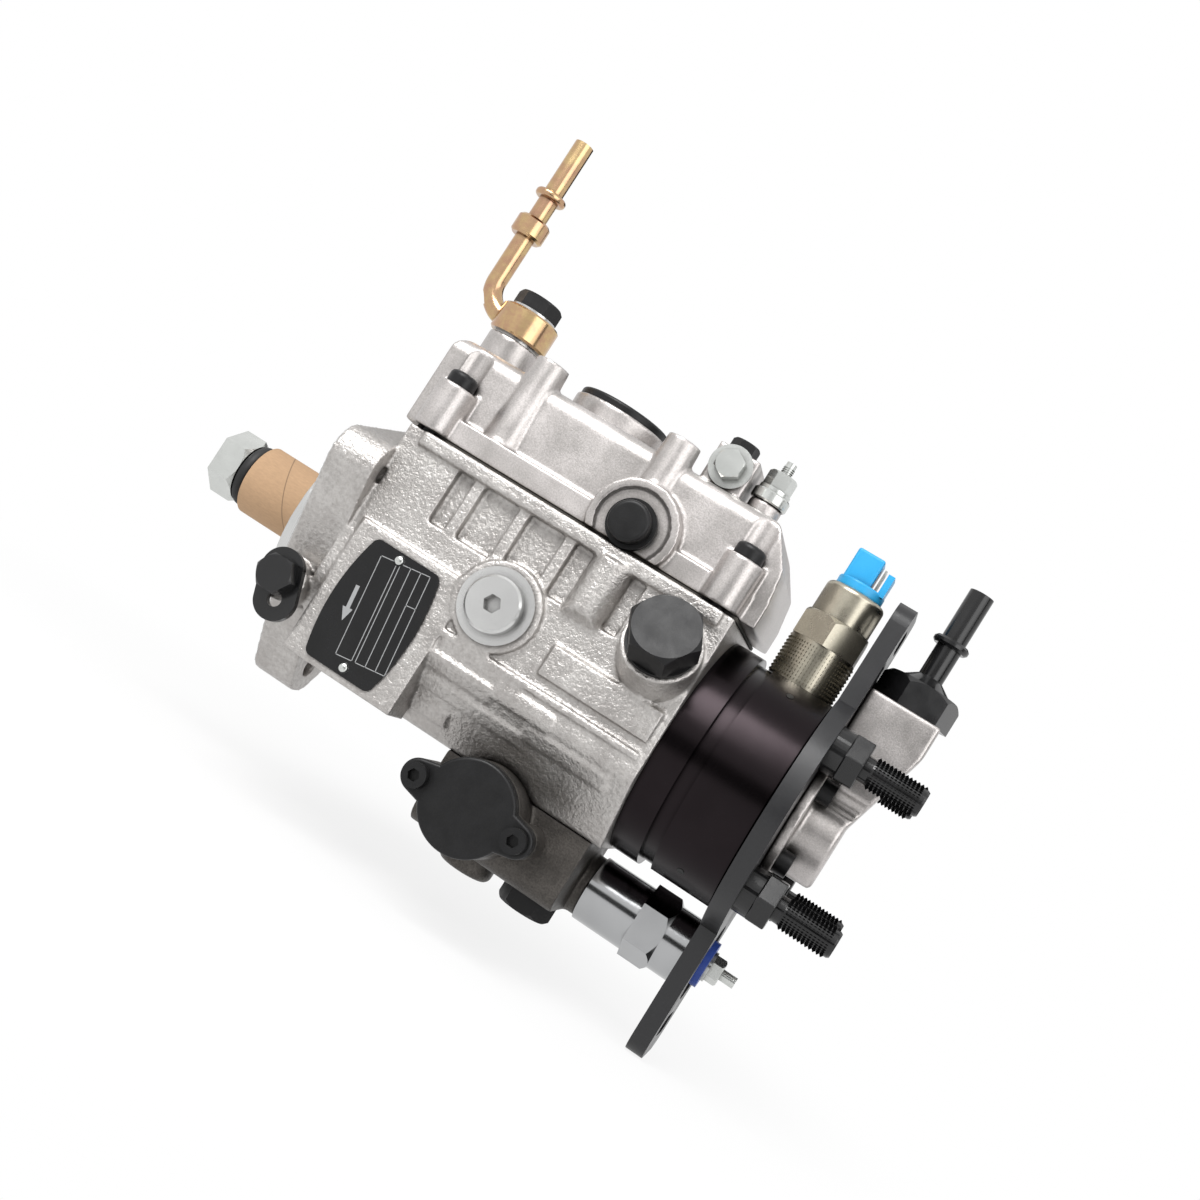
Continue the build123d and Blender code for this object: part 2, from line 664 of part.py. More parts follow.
def cover_shell():
    """Roof, walls and foot flange of the cover."""
    z0 = cover_base_z()
    profile = Polyline((cover_x0, z0), (cover_x1, z0), (cover_x1, cover_top_z - 28),
                       (cover_x1 - 2, cover_top_z - cover_shoulder_drop),
                       (cover_shoulder_x, cover_top_z), (cover_x0, cover_top_z), close=True)
    plane = Plane(origin=(0, cover_half_w, 0), x_dir=(1, 0, 0), z_dir=(0, -1, 0))
    hood = extrude(plane * make_face(profile), 2 * cover_half_w)
    roof = hood.edges().filter_by(lambda e: e.center().Z > cover_top_z - 2)
    hood = fillet(roof, cover_corner_r * 0.7)
    foot = block(foot_x0, foot_x1, -foot_half_w, foot_half_w, z0, z0 + foot_height)
    return hood + fillet(foot.edges().filter_by(Axis.Z), cover_corner_r)


def cover_lugs():
    """Screw lugs at the four corners, with flat tops under the screw heads."""
    z0 = cover_base_z()
    lugs = Part()
    for x, y in cover_screw_places():
        lugs += along_z(lug_r, z0, lug_top_z, x, y)
        side = 1 if y > 0 else -1
        inner = side * (cover_half_w - cover_wall)
        lugs += block(x - lug_r, x + lug_r, *sorted((inner, y)), z0, lug_top_z)
    return lugs


def cover_bosses():
    """Posts, round crown, side bosses and the vent and stud bosses on the roof."""
    forms = along_z(banjo_boss_r, banjo_boss_z0, banjo_top_z, banjo_x)
    for x in post_x:
        z0 = cover_base_z() + foot_height
        forms += Location((x, post_y, z0)) * Cone(
            post_foot_r, post_r, post_top_z - z0, align=(Align.CENTER, Align.CENTER, Align.MIN))
    forms += along_z(crown_r, cover_top_z - 8, crown_top_z, crown_x)
    forms += along_z(stud_boss_r, cover_top_z - 8, stud_boss_top_z, stud_x, stud_y)
    forms += block(vent_x0, vent_x1, vent_y0, vent_y1, cover_top_z - 8, vent_top_z)
    for side in (-1, 1):
        y0, y1 = sorted((side * (cover_half_w - 2), side * side_boss_y))
        drum = along_y(side_boss_r, y0, y1, side_boss_x, side_boss_z)
        forms += drum & block(0, beyond, -beyond, beyond, cover_base_z(), beyond)
    return forms


def cover_cuts():
    """Inner chamber, recesses and tapped holes of the cover."""
    inner = cover_half_w - cover_wall
    z0 = cover_base_z() - 1
    cut = block(cover_opening_x0 - 4, cover_shoulder_x - 2, -inner, inner, z0,
                cover_top_z - cover_wall)
    for side in (-1, 1):
        y = side * side_boss_y
        y0, y1 = sorted((y + side, y - side * side_recess_depth))
        cut += along_y(side_recess_r, y0, y1, side_boss_x, side_boss_z)
    cut += along_y(throttle_shaft_r + running_gap, inner - 13, side_boss_y + 15, side_boss_x, side_boss_z)
    cut += along_y(side_plug_r - 2, -side_boss_y - 15, 13 - inner, side_boss_x, side_boss_z)
    cut += along_z(banjo_bolt_r, banjo_top_z - banjo_bolt_reach, banjo_top_z + 1, banjo_x)
    cut += along_z(crown_plug_r, crown_top_z - crown_plug_len, crown_top_z + 1, crown_x)
    cut += along_z(stud_r, stud_boss_top_z - stud_reach, stud_boss_top_z + 1, stud_x, stud_y)
    cut += along_y(vent_screw_r, vent_y0 - 1, vent_y0 + vent_screw_reach, vent_screw_x, vent_screw_z)
    cut += along_z(stop_r, vent_top_z - stop_reach, vent_top_z + 1, stop_x, stop_y)
    for x, y in cover_screw_places():
        cut += along_z(cover_screw_r + hole_gap, z0, lug_top_z + 20, x, y)
        cut += along_z(cover_screw_head_r + 0.4, lug_top_z, lug_top_z + 30, x, y)
    return cut


def arm_bearers():
    """Two lugs inside the cover that carry the governor arm pin."""
    inner = cover_half_w - cover_wall + 1
    gap = arm_half_w + free_gap
    bearers = Part()
    for side in (-1, 1):
        y0, y1 = sorted((side * gap, side * inner))
        bearers += block(arm_pivot_x - 5, arm_pivot_x + 5, y0, y1, cover_base_z(), arm_pivot_z + 5)
    return bearers


def make_cover():
    """Control cover casting."""
    cover = cover_shell() + cover_lugs() + cover_bosses()
    body = cover - cover_cuts()
    pin_half = arm_half_w + arm_journal_len + free_gap
    pin_hole = along_y(pivot_pin_r + running_gap, -pin_half, pin_half, arm_pivot_x, arm_pivot_z)
    return body + (arm_bearers() - pin_hole)


def make_cover_screws():
    """Four dome-head socket screws."""
    screws = []
    for x, y in cover_screw_places():
        head = along_z(cover_screw_head_r, lug_top_z, lug_top_z + cover_screw_head_t, x, y)
        head = fillet(head.edges().filter_by(GeomType.CIRCLE).sort_by(Axis.Z)[-1], 2.0)
        socket = Location((x, y, lug_top_z + cover_screw_head_t - 3)) * extrude(
            RegularPolygon(cover_screw_socket_af / 2, 6, major_radius=False), 4)
        shank = along_z(cover_screw_r, housing_top_z - cover_screw_depth(), lug_top_z, x, y)
        screws.append(head - socket + shank)
    return group(screws)


def group(pieces):
    """Several separate solids in one node."""
    solids = []
    for piece in pieces:
        solids.extend(piece.solids())
    return Compound(children=solids)


def make_crown_cap():
    """Black pressed cap in the round crown."""
    plug = along_z(crown_plug_r, crown_top_z - crown_plug_len, crown_top_z, crown_x)
    disc = along_z(crown_cap_r, crown_top_z, crown_top_z + crown_cap_t, crown_x)
    return plug + fillet(disc.edges().filter_by(GeomType.CIRCLE).sort_by(Axis.Z)[-1], 1.2)


def make_side_plug():
    """Black stepped plug over the blind end of the throttle bore."""
    y = -side_boss_y + side_recess_depth
    base = along_y(side_plug_base_r, y - side_plug_base_t, y, side_boss_x, side_boss_z)
    nose = along_y(side_plug_r, y - side_plug_t, y - side_plug_base_t, side_boss_x, side_boss_z)
    nose = fillet(nose.edges().filter_by(GeomType.CIRCLE).sort_by(Axis.Y)[0], 1.5)
    shank = along_y(side_plug_r - 2, y, y + 7, side_boss_x, side_boss_z)
    return base + nose + shank


def make_vent_screw():
    """Bright hexagon vent screw facing the name plate side."""
    washer_y = vent_y0 - vent_washer_t
    head = toward_minus_y(vent_screw_x, washer_y, vent_screw_z) * hex_prism(
        vent_screw_af, vent_screw_head_t, 30)
    shank = along_y(vent_screw_r, washer_y, vent_y0 + vent_screw_reach, vent_screw_x, vent_screw_z)
    return head + shank


def make_vent_washer():
    """Sealing washer of the vent screw."""
    y = vent_y0 - vent_washer_t
    ring = along_y(vent_washer_r, y, vent_y0, vent_screw_x, vent_screw_z)
    return ring - along_y(vent_screw_r, y - 1, vent_y0 + 1, vent_screw_x, vent_screw_z)


def make_stop_screw():
    """Dark hexagon screw on top of the vent block."""
    head = Location((stop_x, stop_y, vent_top_z)) * hex_prism(stop_af, stop_head_t, 15)
    return head + along_z(stop_r, vent_top_z - stop_reach, vent_top_z, stop_x, stop_y)


def make_adjuster_collar():
    """Bright collar and washer under the adjuster nut."""
    z0 = stud_boss_top_z
    z1 = z0 + stud_collar_t
    ring = along_z(stud_collar_r, z0, z1, stud_x, stud_y)
    ring = chamfer(ring.edges().filter_by(GeomType.CIRCLE), 0.6)
    ring += along_z(stud_washer_r, z1, z1 + stud_washer_t, stud_x, stud_y)
    return ring - along_z(stud_r + hole_gap, z0 - 1, z1 + stud_washer_t + 1, stud_x, stud_y)


def stud_nut_z():
    """Underside of the adjuster nut."""
    return stud_boss_top_z + stud_collar_t + stud_washer_t


def make_adjuster_nut():
    """Lock nut of the adjuster stud."""
    nut = Location((stud_x, stud_y, stud_nut_z())) * hex_prism(stud_nut_af, stud_nut_t, 10)
    return nut - along_z(stud_r, stud_nut_z() - 1, stud_nut_z() + stud_nut_t + 1, stud_x, stud_y)


def make_adjuster_stud():
    """Slotted adjuster stud."""
    stud = along_z(stud_r, stud_boss_top_z - stud_reach, stud_top_z, stud_x, stud_y)
    return stud - block(stud_x - 5, stud_x + 5, stud_y - 0.4, stud_y + 0.4, stud_top_z - 1.5,
                        stud_top_z + 1)


# ================================================================ return pipe
def pipe_mid_z():
    """Height of the banjo eye's middle."""
    return banjo_top_z + seal_t + banjo_ring_h / 2


def pipe_path():
    """Centre line: out of the eye to the front, then up."""
    z = pipe_mid_z()
    start = (banjo_x - banjo_bore_r - 0.6, 0, z)
    corner = (pipe_front_x, 0, z)
    top = (pipe_front_x, 0, pipe_top_z)
    return FilletPolyline(start, corner, top, radius=pipe_bend_r)


def make_return_pipe():
    """Banjo eye with its bent pipe, collar and hose bead."""
    path = pipe_path()
    section = Plane(origin=path @ 0, z_dir=path % 0) * Circle(pipe_r)
    tube = sweep(section, path=path)
    z0 = banjo_top_z + seal_t
    eye = along_z(banjo_ring_r, z0, z0 + banjo_ring_h, banjo_x)
    eye = chamfer(eye.edges().filter_by(GeomType.CIRCLE), 0.8)
    collar = along_z(pipe_collar_r, pipe_collar_z, pipe_collar_z + pipe_collar_h, pipe_front_x)
    collar = chamfer(collar.edges().filter_by(GeomType.CIRCLE), 1.0)
    bead = along_z(pipe_bead_r, pipe_bead_z, pipe_bead_z + pipe_bead_h, pipe_front_x)
    bead = fillet(bead.edges().filter_by(GeomType.CIRCLE), 1.3)
    pipe = tube + eye + collar + bead
    bore_z0 = pipe_bead_z - pipe_bore_below_bead + banjo_ring_h
    bore = along_z(pipe_bore_r, bore_z0, pipe_top_z + 1, pipe_front_x)
    return pipe - bore - along_z(banjo_bore_r, z0 - 1, z0 + banjo_ring_h + 1, banjo_x)


def make_banjo_seals():
    """Sealing rings above and below the banjo eye."""
    rings = []
    for z in (banjo_top_z, banjo_top_z + seal_t + banjo_ring_h):
        ring = along_z(seal_r, z, z + seal_t, banjo_x)
        rings.append(ring - along_z(banjo_bore_r, z - 1, z + seal_t + 1, banjo_x))
    return group(rings)


def make_banjo_bolt():
    """Hollow bolt that holds the banjo eye."""
    z = banjo_top_z + 2 * seal_t + banjo_ring_h
    head = Location((banjo_x, 0, z)) * hex_prism(banjo_bolt_af, banjo_head_t, 8)
    shank = along_z(banjo_bolt_r, banjo_top_z - banjo_bolt_reach, z, banjo_x)
    return head + shank


# ================================================================ hydraulic head
def make_head():
    """Hardened distributor head: spigot, flange, groove and main body."""
    spigot = along_x(cam_bore_r - running_gap / 2, head_front_x, housing_end_x)
    flange = along_x(head_r, housing_end_x, head_flange_x1)
    neck = along_x(head_r - head_groove_depth, head_flange_x1, head_groove_x1)
    main = along_x(head_r, head_groove_x1, head_end_x)
    main = chamfer(main.edges().filter_by(GeomType.CIRCLE).sort_by(Axis.X)[-1], 1.0)
    head = spigot + flange + neck + main
    head -= block(head_groove_x1, head_end_x + 1, -beyond, beyond, head_flat_z, beyond)
    head -= block(head_groove_x1, head_end_x + 1, -beyond, beyond, -beyond, head_low_flat_z)
    head -= along_x(rotor_stem_r + running_gap, head_front_x - 1, head_end_x + 1)
    head -= along_z(solenoid_port_r, solenoid_port_floor, beyond, solenoid_x)
    for y, z in outlet_places():
        head -= along_x(outlet_shank_r, head_end_x + plate_t - outlet_shank_len, head_end_x + 1, y, z)
    for y, z in end_screw_places():
        head -= along_x(end_screw_r, head_end_x - end_screw_reach + plate_t, head_end_x + 1, y, z)
    head -= along_z(metering_r + running_gap, metering_z0 - 1, 50, metering_x, metering_y)
    head -= fitting_bar(fitting_shank_r, fitting_shank_end - 4, beyond)
    groove = along_x(50, head_oring_x - head_oring_r, head_oring_x + head_oring_r)
    groove -= along_x(cam_bore_r - 2 * head_oring_r, 0, 200)
    return head - groove


def make_head_oring():
    """Sealing ring of the head in the housing bore."""
    ring = Torus(cam_bore_r - head_oring_r, head_oring_r - 0.05)
    return Location((head_oring_x, 0, 0), (0, 90, 0)) * ring


def make_solenoid_body():
    """Stop solenoid case: plain barrel, hexagon and upper barrel."""
    low = along_z(solenoid_low_r, head_flat_z, solenoid_low_top, solenoid_x)
    stem = along_z(solenoid_port_r, solenoid_port_floor + 8, head_flat_z, solenoid_x)
    hexagon = Location((solenoid_x, 0, solenoid_low_top)) * hex_prism(
        solenoid_af, solenoid_hex_top - solenoid_low_top, 30)
    up = along_z(solenoid_up_r, solenoid_hex_top, solenoid_up_top, solenoid_x)
    up = fillet(up.edges().filter_by(GeomType.CIRCLE).sort_by(Axis.Z)[-1], solenoid_corner_r)
    bore = along_z(plunger_r + running_gap, solenoid_port_floor, plunger_bore_top, solenoid_x)
    return low + stem + hexagon + up - bore


def make_solenoid_cap():
    """Blue insulator with a round foot, a block and a guard prong."""
    foot = along_z(solenoid_ring_r, solenoid_up_top, solenoid_up_top + solenoid_ring_t, solenoid_x)
    foot = fillet(foot.edges().filter_by(GeomType.CIRCLE).sort_by(Axis.Z)[-1], 0.8)
    z0 = solenoid_up_top + solenoid_ring_t
    x0 = solenoid_x - 8.0
    half = solenoid_cap_w / 2
    tower = block(x0, x0 + solenoid_cap_len, -half, half, z0 - 1, solenoid_cap_top)
    tower = fillet(tower.edges().filter_by(lambda e: e.center().Z > z0), 1.0)
    prong_x = x0 + solenoid_cap_len + solenoid_prong_gap
    prong = block(prong_x, prong_x + solenoid_prong_t, -half, half, z0 - 1, solenoid_prong_top)
    return foot + tower + prong


def make_terminal():
    """Spade terminal between the cap's block and prong."""
    x = solenoid_x - 8.0 + solenoid_cap_len + solenoid_prong_gap / 2
    z0 = solenoid_up_top + solenoid_ring_t
    return block(x - spade_t / 2, x + spade_t / 2, -spade_w / 2, spade_w / 2, z0, spade_top)


def make_solenoid_plunger():
    """Stop plunger that closes the fuel passage to the metering valve."""
    bar = along_z(plunger_r, plunger_z0, plunger_z1, solenoid_x)
    return chamfer(bar.edges().filter_by(GeomType.CIRCLE).sort_by(Axis.Z)[0], 1.5)


def make_solenoid_spring():
    """Return spring above the plunger."""
    z0 = plunger_z1 + plunger_travel + free_gap
    ring = along_z(plunger_r - 0.4, z0, plunger_bore_top, solenoid_x)
    return ring - along_z(plunger_r - 1.4, z0 - 1, plunger_bore_top + 1, solenoid_x)


# ================================================================ rear of the pump
def outlet_places():
    """(Y, Z) of the four delivery connectors."""
    return [polar(outlet_circle_r, angle) for angle in (45, 135, 225, 315)]


def end_screw_places():
    """(Y, Z) of the four end plate screws."""
    return [polar(end_screw_circle_r, angle) for angle in (38, 142, 218, 322)]


def slot_shape(length, width):
    """Rounded slot along the local X."""
    return SlotOverall(length, width)


def plate_outline():
    """Support plate in (Y, Z): round middle, upright arm and offset lower arm."""
    r = plate_corner_r
    top = Pos(plate_top_half_w - r, plate_top_z - r) * Circle(r)
    top += Pos(-plate_top_half_w + r, plate_top_z - r) * Circle(r)
    arm = make_hull((Sketch() + Circle(plate_top_half_w + 8) + top).edges())
    low = Pos(plate_low_y0 + r, plate_low_z + r) * Circle(r)
    low += Pos(plate_low_y1 - r, plate_low_z + r) * Circle(r)
    leg = make_hull((Sketch() + Pos(cold_y, 0) * Circle(plate_top_half_w + 8) + low).edges())
    return Sketch() + Circle(plate_r) + arm + leg


def make_rear_plate():
    """Black support plate clamped under the delivery connectors."""
    outline = plate_outline()
    outline -= Circle(plate_centre_r)
    for z in plate_slot_z:
        if z > plate_r:
            outline -= Pos(0, z) * slot_shape(plate_slot_len, plate_slot_w)
    outline -= Pos(cold_y, plate_low_slot_z) * slot_shape(plate_low_slot_len, plate_slot_w)
    outline -= Pos(cold_y, cold_z) * Circle(plate_window_r)
    for y, z in outlet_places():
        outline -= Pos(y, z) * Circle(outlet_shank_r)
    for y, z in end_screw_places():
        outline -= Pos(y, z) * Circle(end_screw_r + hole_gap)
    return yz_prism(outline, head_end_x, plate_back_x())


def plate_back_x():
    """Rear face of the support plate."""
    return head_end_x + plate_t


def make_outlets():
    """Four delivery connectors with M12 threads and cone seats."""
    pieces = []
    x0 = plate_back_x()
    x1 = x0 + outlet_collar_t
    x2 = x1 + outlet_hex_t
    x3 = x2 + outlet_neck_t
    for y, z in outlet_places():
        body = along_x(outlet_shank_r, x0 - outlet_shank_len, x0, y, z)
        body += along_x(outlet_collar_r, x0, x1, y, z)
        body += toward_plus_x(x1, y, z) * hex_prism(outlet_af, outlet_hex_t)
        body += along_x(outlet_neck_r, x2, x3, y, z)
        thread = along_x(outlet_thread_r, x3, outlet_end_x, y, z)
        body += chamfer(thread.edges().filter_by(GeomType.CIRCLE), 0.8)
        body -= along_x(outlet_bore_r, x0 - outlet_shank_len - 1, outlet_end_x + 1, y, z)
        seat = Location((outlet_end_x - outlet_cone_len, y, z), (0, 90, 0)) * Cone(
            outlet_bore_r, outlet_cone_r, outlet_cone_len,
            align=(Align.CENTER, Align.CENTER, Align.MIN))
        pieces.append(body - seat)
    return group(pieces)


def make_end_plate():
    """Transfer pump end plate with the raised block that holds the inlet."""
    x0 = plate_back_x()
    base = along_x(end_flange_r, x0, x0 + end_flange_t)
    boss = along_x(end_boss_r, x0, end_boss_x)
    boss = fillet(boss.edges().filter_by(GeomType.CIRCLE).sort_by(Axis.X)[-1], 2.0)
    profile = Polyline((x0, 0), (end_boss_x - 2, 0), (end_block_x1, end_block_top_z - 12),
                       (end_block_x1, end_block_top_z), (x0, end_block_top_z), close=True)
    half = end_block_half_w
    plane = Plane(origin=(0, half, 0), x_dir=(1, 0, 0), z_dir=(0, -1, 0))
    tower = extrude(plane * make_face(profile), 2 * half)
    tower = fillet(tower.edges().filter_by(Axis.Z), 1.5)
    plate = base + boss + tower
    plate -= along_x(liner_r, x0 - 1, head_end_x + liner_len)
    for y, z in end_screw_places():
        plate -= along_x(end_screw_r + hole_gap, x0 - 1, end_block_x1 + 1, y, z)
        plate -= along_x(end_screw_head_r + hole_gap, x0 + end_flange_t, end_block_x1 + 1, y, z)
    plate -= along_z(regulator_r + running_gap, regulator_z0 - 1, end_block_top_z, inlet_x)
    plate -= along_z(inlet_spigot_r, end_block_top_z - inlet_spigot_len, end_block_top_z + 1,
                     inlet_x)
    return plate


def make_end_screws():
    """Four socket screws of the end plate."""
    screws = []
    x = plate_back_x() + end_flange_t
    for y, z in end_screw_places():
        head = along_x(end_screw_head_r, x, x + end_screw_head_t, y, z)
        socket = toward_plus_x(x + end_screw_head_t - 2.5, y, z) * extrude(
            RegularPolygon(end_screw_socket_af / 2, 6, major_radius=False), 4)
        shank = along_x(end_screw_r, plate_back_x() - end_screw_reach, x, y, z)
        screws.append(head + shank - socket)
    return group(screws)


def make_inlet():
    """Black quick connector screwed into the end plate."""
    z0 = end_block_top_z
    z1 = z0 + inlet_hex_t
    spigot = along_z(inlet_spigot_r, z0 - inlet_spigot_len, z0, inlet_x)
    hexagon = Location((inlet_x, 0, z0)) * hex_prism(inlet_af, inlet_hex_t, 10)
    body = Location((inlet_x, 0, z1)) * Cone(
        inlet_body_r, inlet_tube_r, inlet_body_t, align=(Align.CENTER, Align.CENTER, Align.MIN))
    tube = along_z(inlet_tube_r, z1, inlet_top_z, inlet_x)
    bead = along_z(inlet_bead_r, inlet_bead_z, inlet_bead_z + inlet_bead_h, inlet_x)
    bead = chamfer(bead.edges().filter_by(GeomType.CIRCLE), 0.9)
    union = spigot + hexagon + body + tube + bead
    return union - along_z(inlet_bore_r, z0 - inlet_spigot_len - 1, inlet_top_z + 1, inlet_x)


def make_regulating_piston():
    """Transfer pressure regulating piston."""
    return along_z(regulator_r, regulator_z0, regulator_z0 + regulator_len, inlet_x)


def make_regulating_spring():
    """Spring between the regulating piston and the inlet connector."""
    z0 = regulator_z0 + regulator_len + regulator_travel + free_gap
    z1 = end_block_top_z - inlet_spigot_len
    ring = along_z(regulator_r - 0.2, z0, z1, inlet_x)
    return ring - along_z(regulator_r - 1.2, z0 - 1, z1 + 1, inlet_x)


def make_liner():
    """Eccentric liner of the transfer pump."""
    x1 = head_end_x + liner_len
    ring = along_x(liner_r, head_end_x, x1)
    return ring - along_x(liner_bore_r, head_end_x - 1, x1 + 1, 0, liner_offset)


def make_transfer_rotor():
    """Slotted transfer pump rotor on the tail of the distributor rotor."""
    x0, x1 = head_end_x + free_gap, head_end_x + liner_len - free_gap
    rotor = along_x(transfer_rotor_r, x0, x1) - along_x(rotor_tail_r, x0 - 1, x1 + 1)
    slots = block(x0 - 1, x1 + 1, -20, 20, -blade_t / 2, blade_t / 2)
    slots += block(x0 - 1, x1 + 1, -blade_t / 2, blade_t / 2, -20, 20)
    slots -= along_x(transfer_rotor_r - blade_slot_depth, 0, beyond)
    return rotor - slots


def make_blades():
    """Four sliding blades of the transfer pump."""
    x0, x1 = head_end_x + free_gap, head_end_x + liner_len - free_gap
    blade = block(x0, x1, transfer_rotor_r - blade_depth, blade_reach, -blade_t / 2, blade_t / 2)
    return group([Rot(90 * n, 0, 0) * blade for n in range(4)])


# ================================================================ advance unit
def make_advance_housing():
    """Cast iron advance housing: cross cylinder, mounting block and neck."""
    half = advance_half_len
    barrel = along_y(advance_r, -half, half, advance_x, advance_z)
    for side in (-1, 1):
        for dx in (-advance_ear_pitch, advance_ear_pitch):
            y0, y1 = sorted((side * (half - advance_screw_reach - 2), side * half))
            barrel += along_y(advance_ear_r, y0, y1, advance_x + dx, advance_z)
            x0, x1 = sorted((advance_x, advance_x + dx))
            web = advance_ear_r - 1.5
            barrel += block(x0, x1, y0, y1, advance_z - web, advance_z + web)
    w = advance_block_half_w
    foot = block(advance_block_x0, advance_block_x1, -w, w, advance_floor_z, -housing_base_z)
    foot = fillet(foot.edges().filter_by(Axis.X).group_by(Axis.Z)[0], 8)
    lump = along_z(advance_lump_r, advance_lump_z, advance_z, advance_x)
    lump = fillet(lump.edges().filter_by(GeomType.CIRCLE).sort_by(Axis.Z)[0], 3)
    neck = along_x(advance_neck_r, advance_block_x1 - 2, housing_end_x, cold_y, cold_z)
    body = barrel + foot + lump + neck
    body &= block(0, beyond, -beyond, beyond, -beyond, -housing_base_z + 14)
    body -= yz_prism(housing_section(), 0, beyond)
    body -= along_y(advance_bore_r, -half - 1, half + 1, advance_x, advance_z)
    room = cam_pin_ball_r + 2.5
    body -= block(advance_x - room, advance_x + room, -12, 12, advance_z, -housing_base_z + 1)
    body -= along_z(advance_bolt_r + hole_gap, advance_lump_z - 1, -30, advance_bolt_x)
    for x, y0, y1 in advance_screw_lines():
        body -= along_y(advance_screw_r, y0, y1, x, advance_z)
    return body


def advance_screw_lines():
    """X and Y range of the threaded part of each advance cover screw."""
    half = advance_half_len
    lines = []
    for dx in (-advance_ear_pitch, advance_ear_pitch):
        lines.append((advance_x + dx, -half, -half + advance_screw_reach))
        lines.append((advance_x + dx, half - advance_screw_reach, half))
    return lines


def advance_lid_outline():
    """Round lid with two screw ears, drawn in (X, Z)."""
    outline = Sketch() + Pos(advance_x, advance_z) * Circle(advance_r)
    for dx in (-advance_ear_pitch, advance_ear_pitch):
        ear = Pos(advance_x + dx, advance_z) * Circle(advance_ear_r)
        waist = Pos(advance_x + dx * 0.35, advance_z) * Circle(advance_ear_r + 3.0)
        outline += make_hull((Sketch() + ear + waist).edges())
    return outline


def lid_prism(y0, y1):
    """Lid outline extruded between two Y positions."""
    plane = Plane(origin=(0, y1, 0), x_dir=(1, 0, 0), z_dir=(0, -1, 0))
    return extrude(plane * advance_lid_outline(), y1 - y0)


def make_advance_gaskets():
    """Gaskets under the two advance covers."""
    half = advance_half_len
    sheets = []
    for y0 in (-half - advance_gasket_t, half):
        sheet = lid_prism(y0, y0 + advance_gasket_t)
        for dx in (-advance_ear_pitch, advance_ear_pitch):
            sheet -= along_y(advance_screw_r, y0 - 1, y0 + 2, advance_x + dx, advance_z)
        sheets.append(sheet - along_y(advance_bore_r, y0 - 1, y0 + 2, advance_x, advance_z))
    return group(sheets)


def make_advance_cover(side):
    """Black pressed cover at one end of the advance cylinder."""
    y_face = side * (advance_half_len + advance_gasket_t)
    y_out = y_face + side * advance_cover_t
    y0, y1 = sorted((y_face, y_out))
    lid = lid_prism(y0, y1)
    outer = lid.faces().sort_by(Axis.Y)[-1 if side > 0 else 0]
    lid = fillet(outer.edges(), 1.2)
    for dx in (-advance_ear_pitch, advance_ear_pitch):
        lid -= along_y(advance_screw_r + hole_gap, y0 - 1, y1 + 1, advance_x + dx, advance_z)
    return lid


def make_advance_screws():
    """Four socket screws of the advance covers."""
    screws = []
    out = advance_half_len + advance_gasket_t + advance_cover_t
    for side in (-1, 1):
        for dx in (-advance_ear_pitch, advance_ear_pitch):
            x = advance_x + dx
            y_top = side * (out + advance_screw_head_t)
            head = along_y(advance_screw_head_r, *sorted((side * out, y_top)), x, advance_z)
            reach = side * (advance_half_len - advance_screw_reach)
            shank = along_y(advance_screw_r, *sorted((side * out, reach)), x, advance_z)
            turn = 90 if side < 0 else -90
            socket = Location((x, y_top - side * 2.4, advance_z), (turn, 0, 0)) * extrude(
                RegularPolygon(advance_screw_socket_af / 2, 6, major_radius=False), 3.4)
            screws.append(head + shank - socket)
    return group(screws)


def make_advance_piston():
    """Advance piston with the seat for the cam pin's ball."""
    half = advance_piston_half_len
    piston = along_y(advance_bore_r - running_gap, -half, half, advance_x, advance_z)
    piston = chamfer(piston.edges().filter_by(GeomType.CIRCLE), 0.8)
    return piston - along_z(cam_pin_ball_r + 0.1, advance_z - 6, -30, advance_x)


def make_advance_spring():
    """Spring between the piston and the far cover."""
    y0 = advance_piston_half_len + advance_travel + free_gap
    y1 = advance_half_len + advance_gasket_t
    path = Helix(pitch=3.2, height=y1 - y0 - 2 * spring_wire_r, radius=advance_spring_r)
    section = Plane(origin=path @ 0, z_dir=path % 0) * Circle(spring_wire_r)
    coil = sweep(section, path=path, is_frenet=True)
    return Location((advance_x, y0 + spring_wire_r, advance_z), (-90, 0, 0)) * coil


def make_advance_bolt():
    """Hexagon bolt that ties the advance housing to the pump body."""
    z = advance_floor_z
    head = Location((advance_bolt_x, 0, z), (180, 0, 0)) * hex_prism(
        advance_bolt_af, advance_bolt_head_t, 0)
    return head + along_z(advance_bolt_r, z, advance_bolt_top_z(), advance_bolt_x)


def make_cold_body():
    """Chrome cold start advance unit with a hexagon collar."""
    body = along_x(cold_r, housing_end_x, cold_x1, cold_y, cold_z)
    body = fillet(body.edges().filter_by(GeomType.CIRCLE).sort_by(Axis.X)[-1], 2.5)
    collar = toward_plus_x(cold_hex_x0, cold_y, cold_z) * hex_prism(
        cold_af, cold_hex_x1 - cold_hex_x0, 0)
    return body + collar


def make_cold_insulator():
    """Blue insulating disc with a small red tip ring."""
    disc = along_x(cold_disc_r, cold_x1, cold_x1 + cold_disc_t, cold_y, cold_z)
    return disc - along_x(cold_stud_r, cold_x1 - 1, cold_x1 + cold_disc_t + 1, cold_y, cold_z)


def make_cold_terminal():
    """Washer, nut and stud of the cold start terminal."""
    x0 = cold_x1 + cold_disc_t
    washer = along_x(cold_washer_r, x0, x0 + cold_washer_t, cold_y, cold_z)
    nut = toward_plus_x(x0 + cold_washer_t, cold_y, cold_z) * hex_prism(cold_nut_af, cold_nut_t)
    stud = along_x(cold_stud_r, cold_x1, x0 + cold_stud_len, cold_y, cold_z)
    return washer + nut + stud


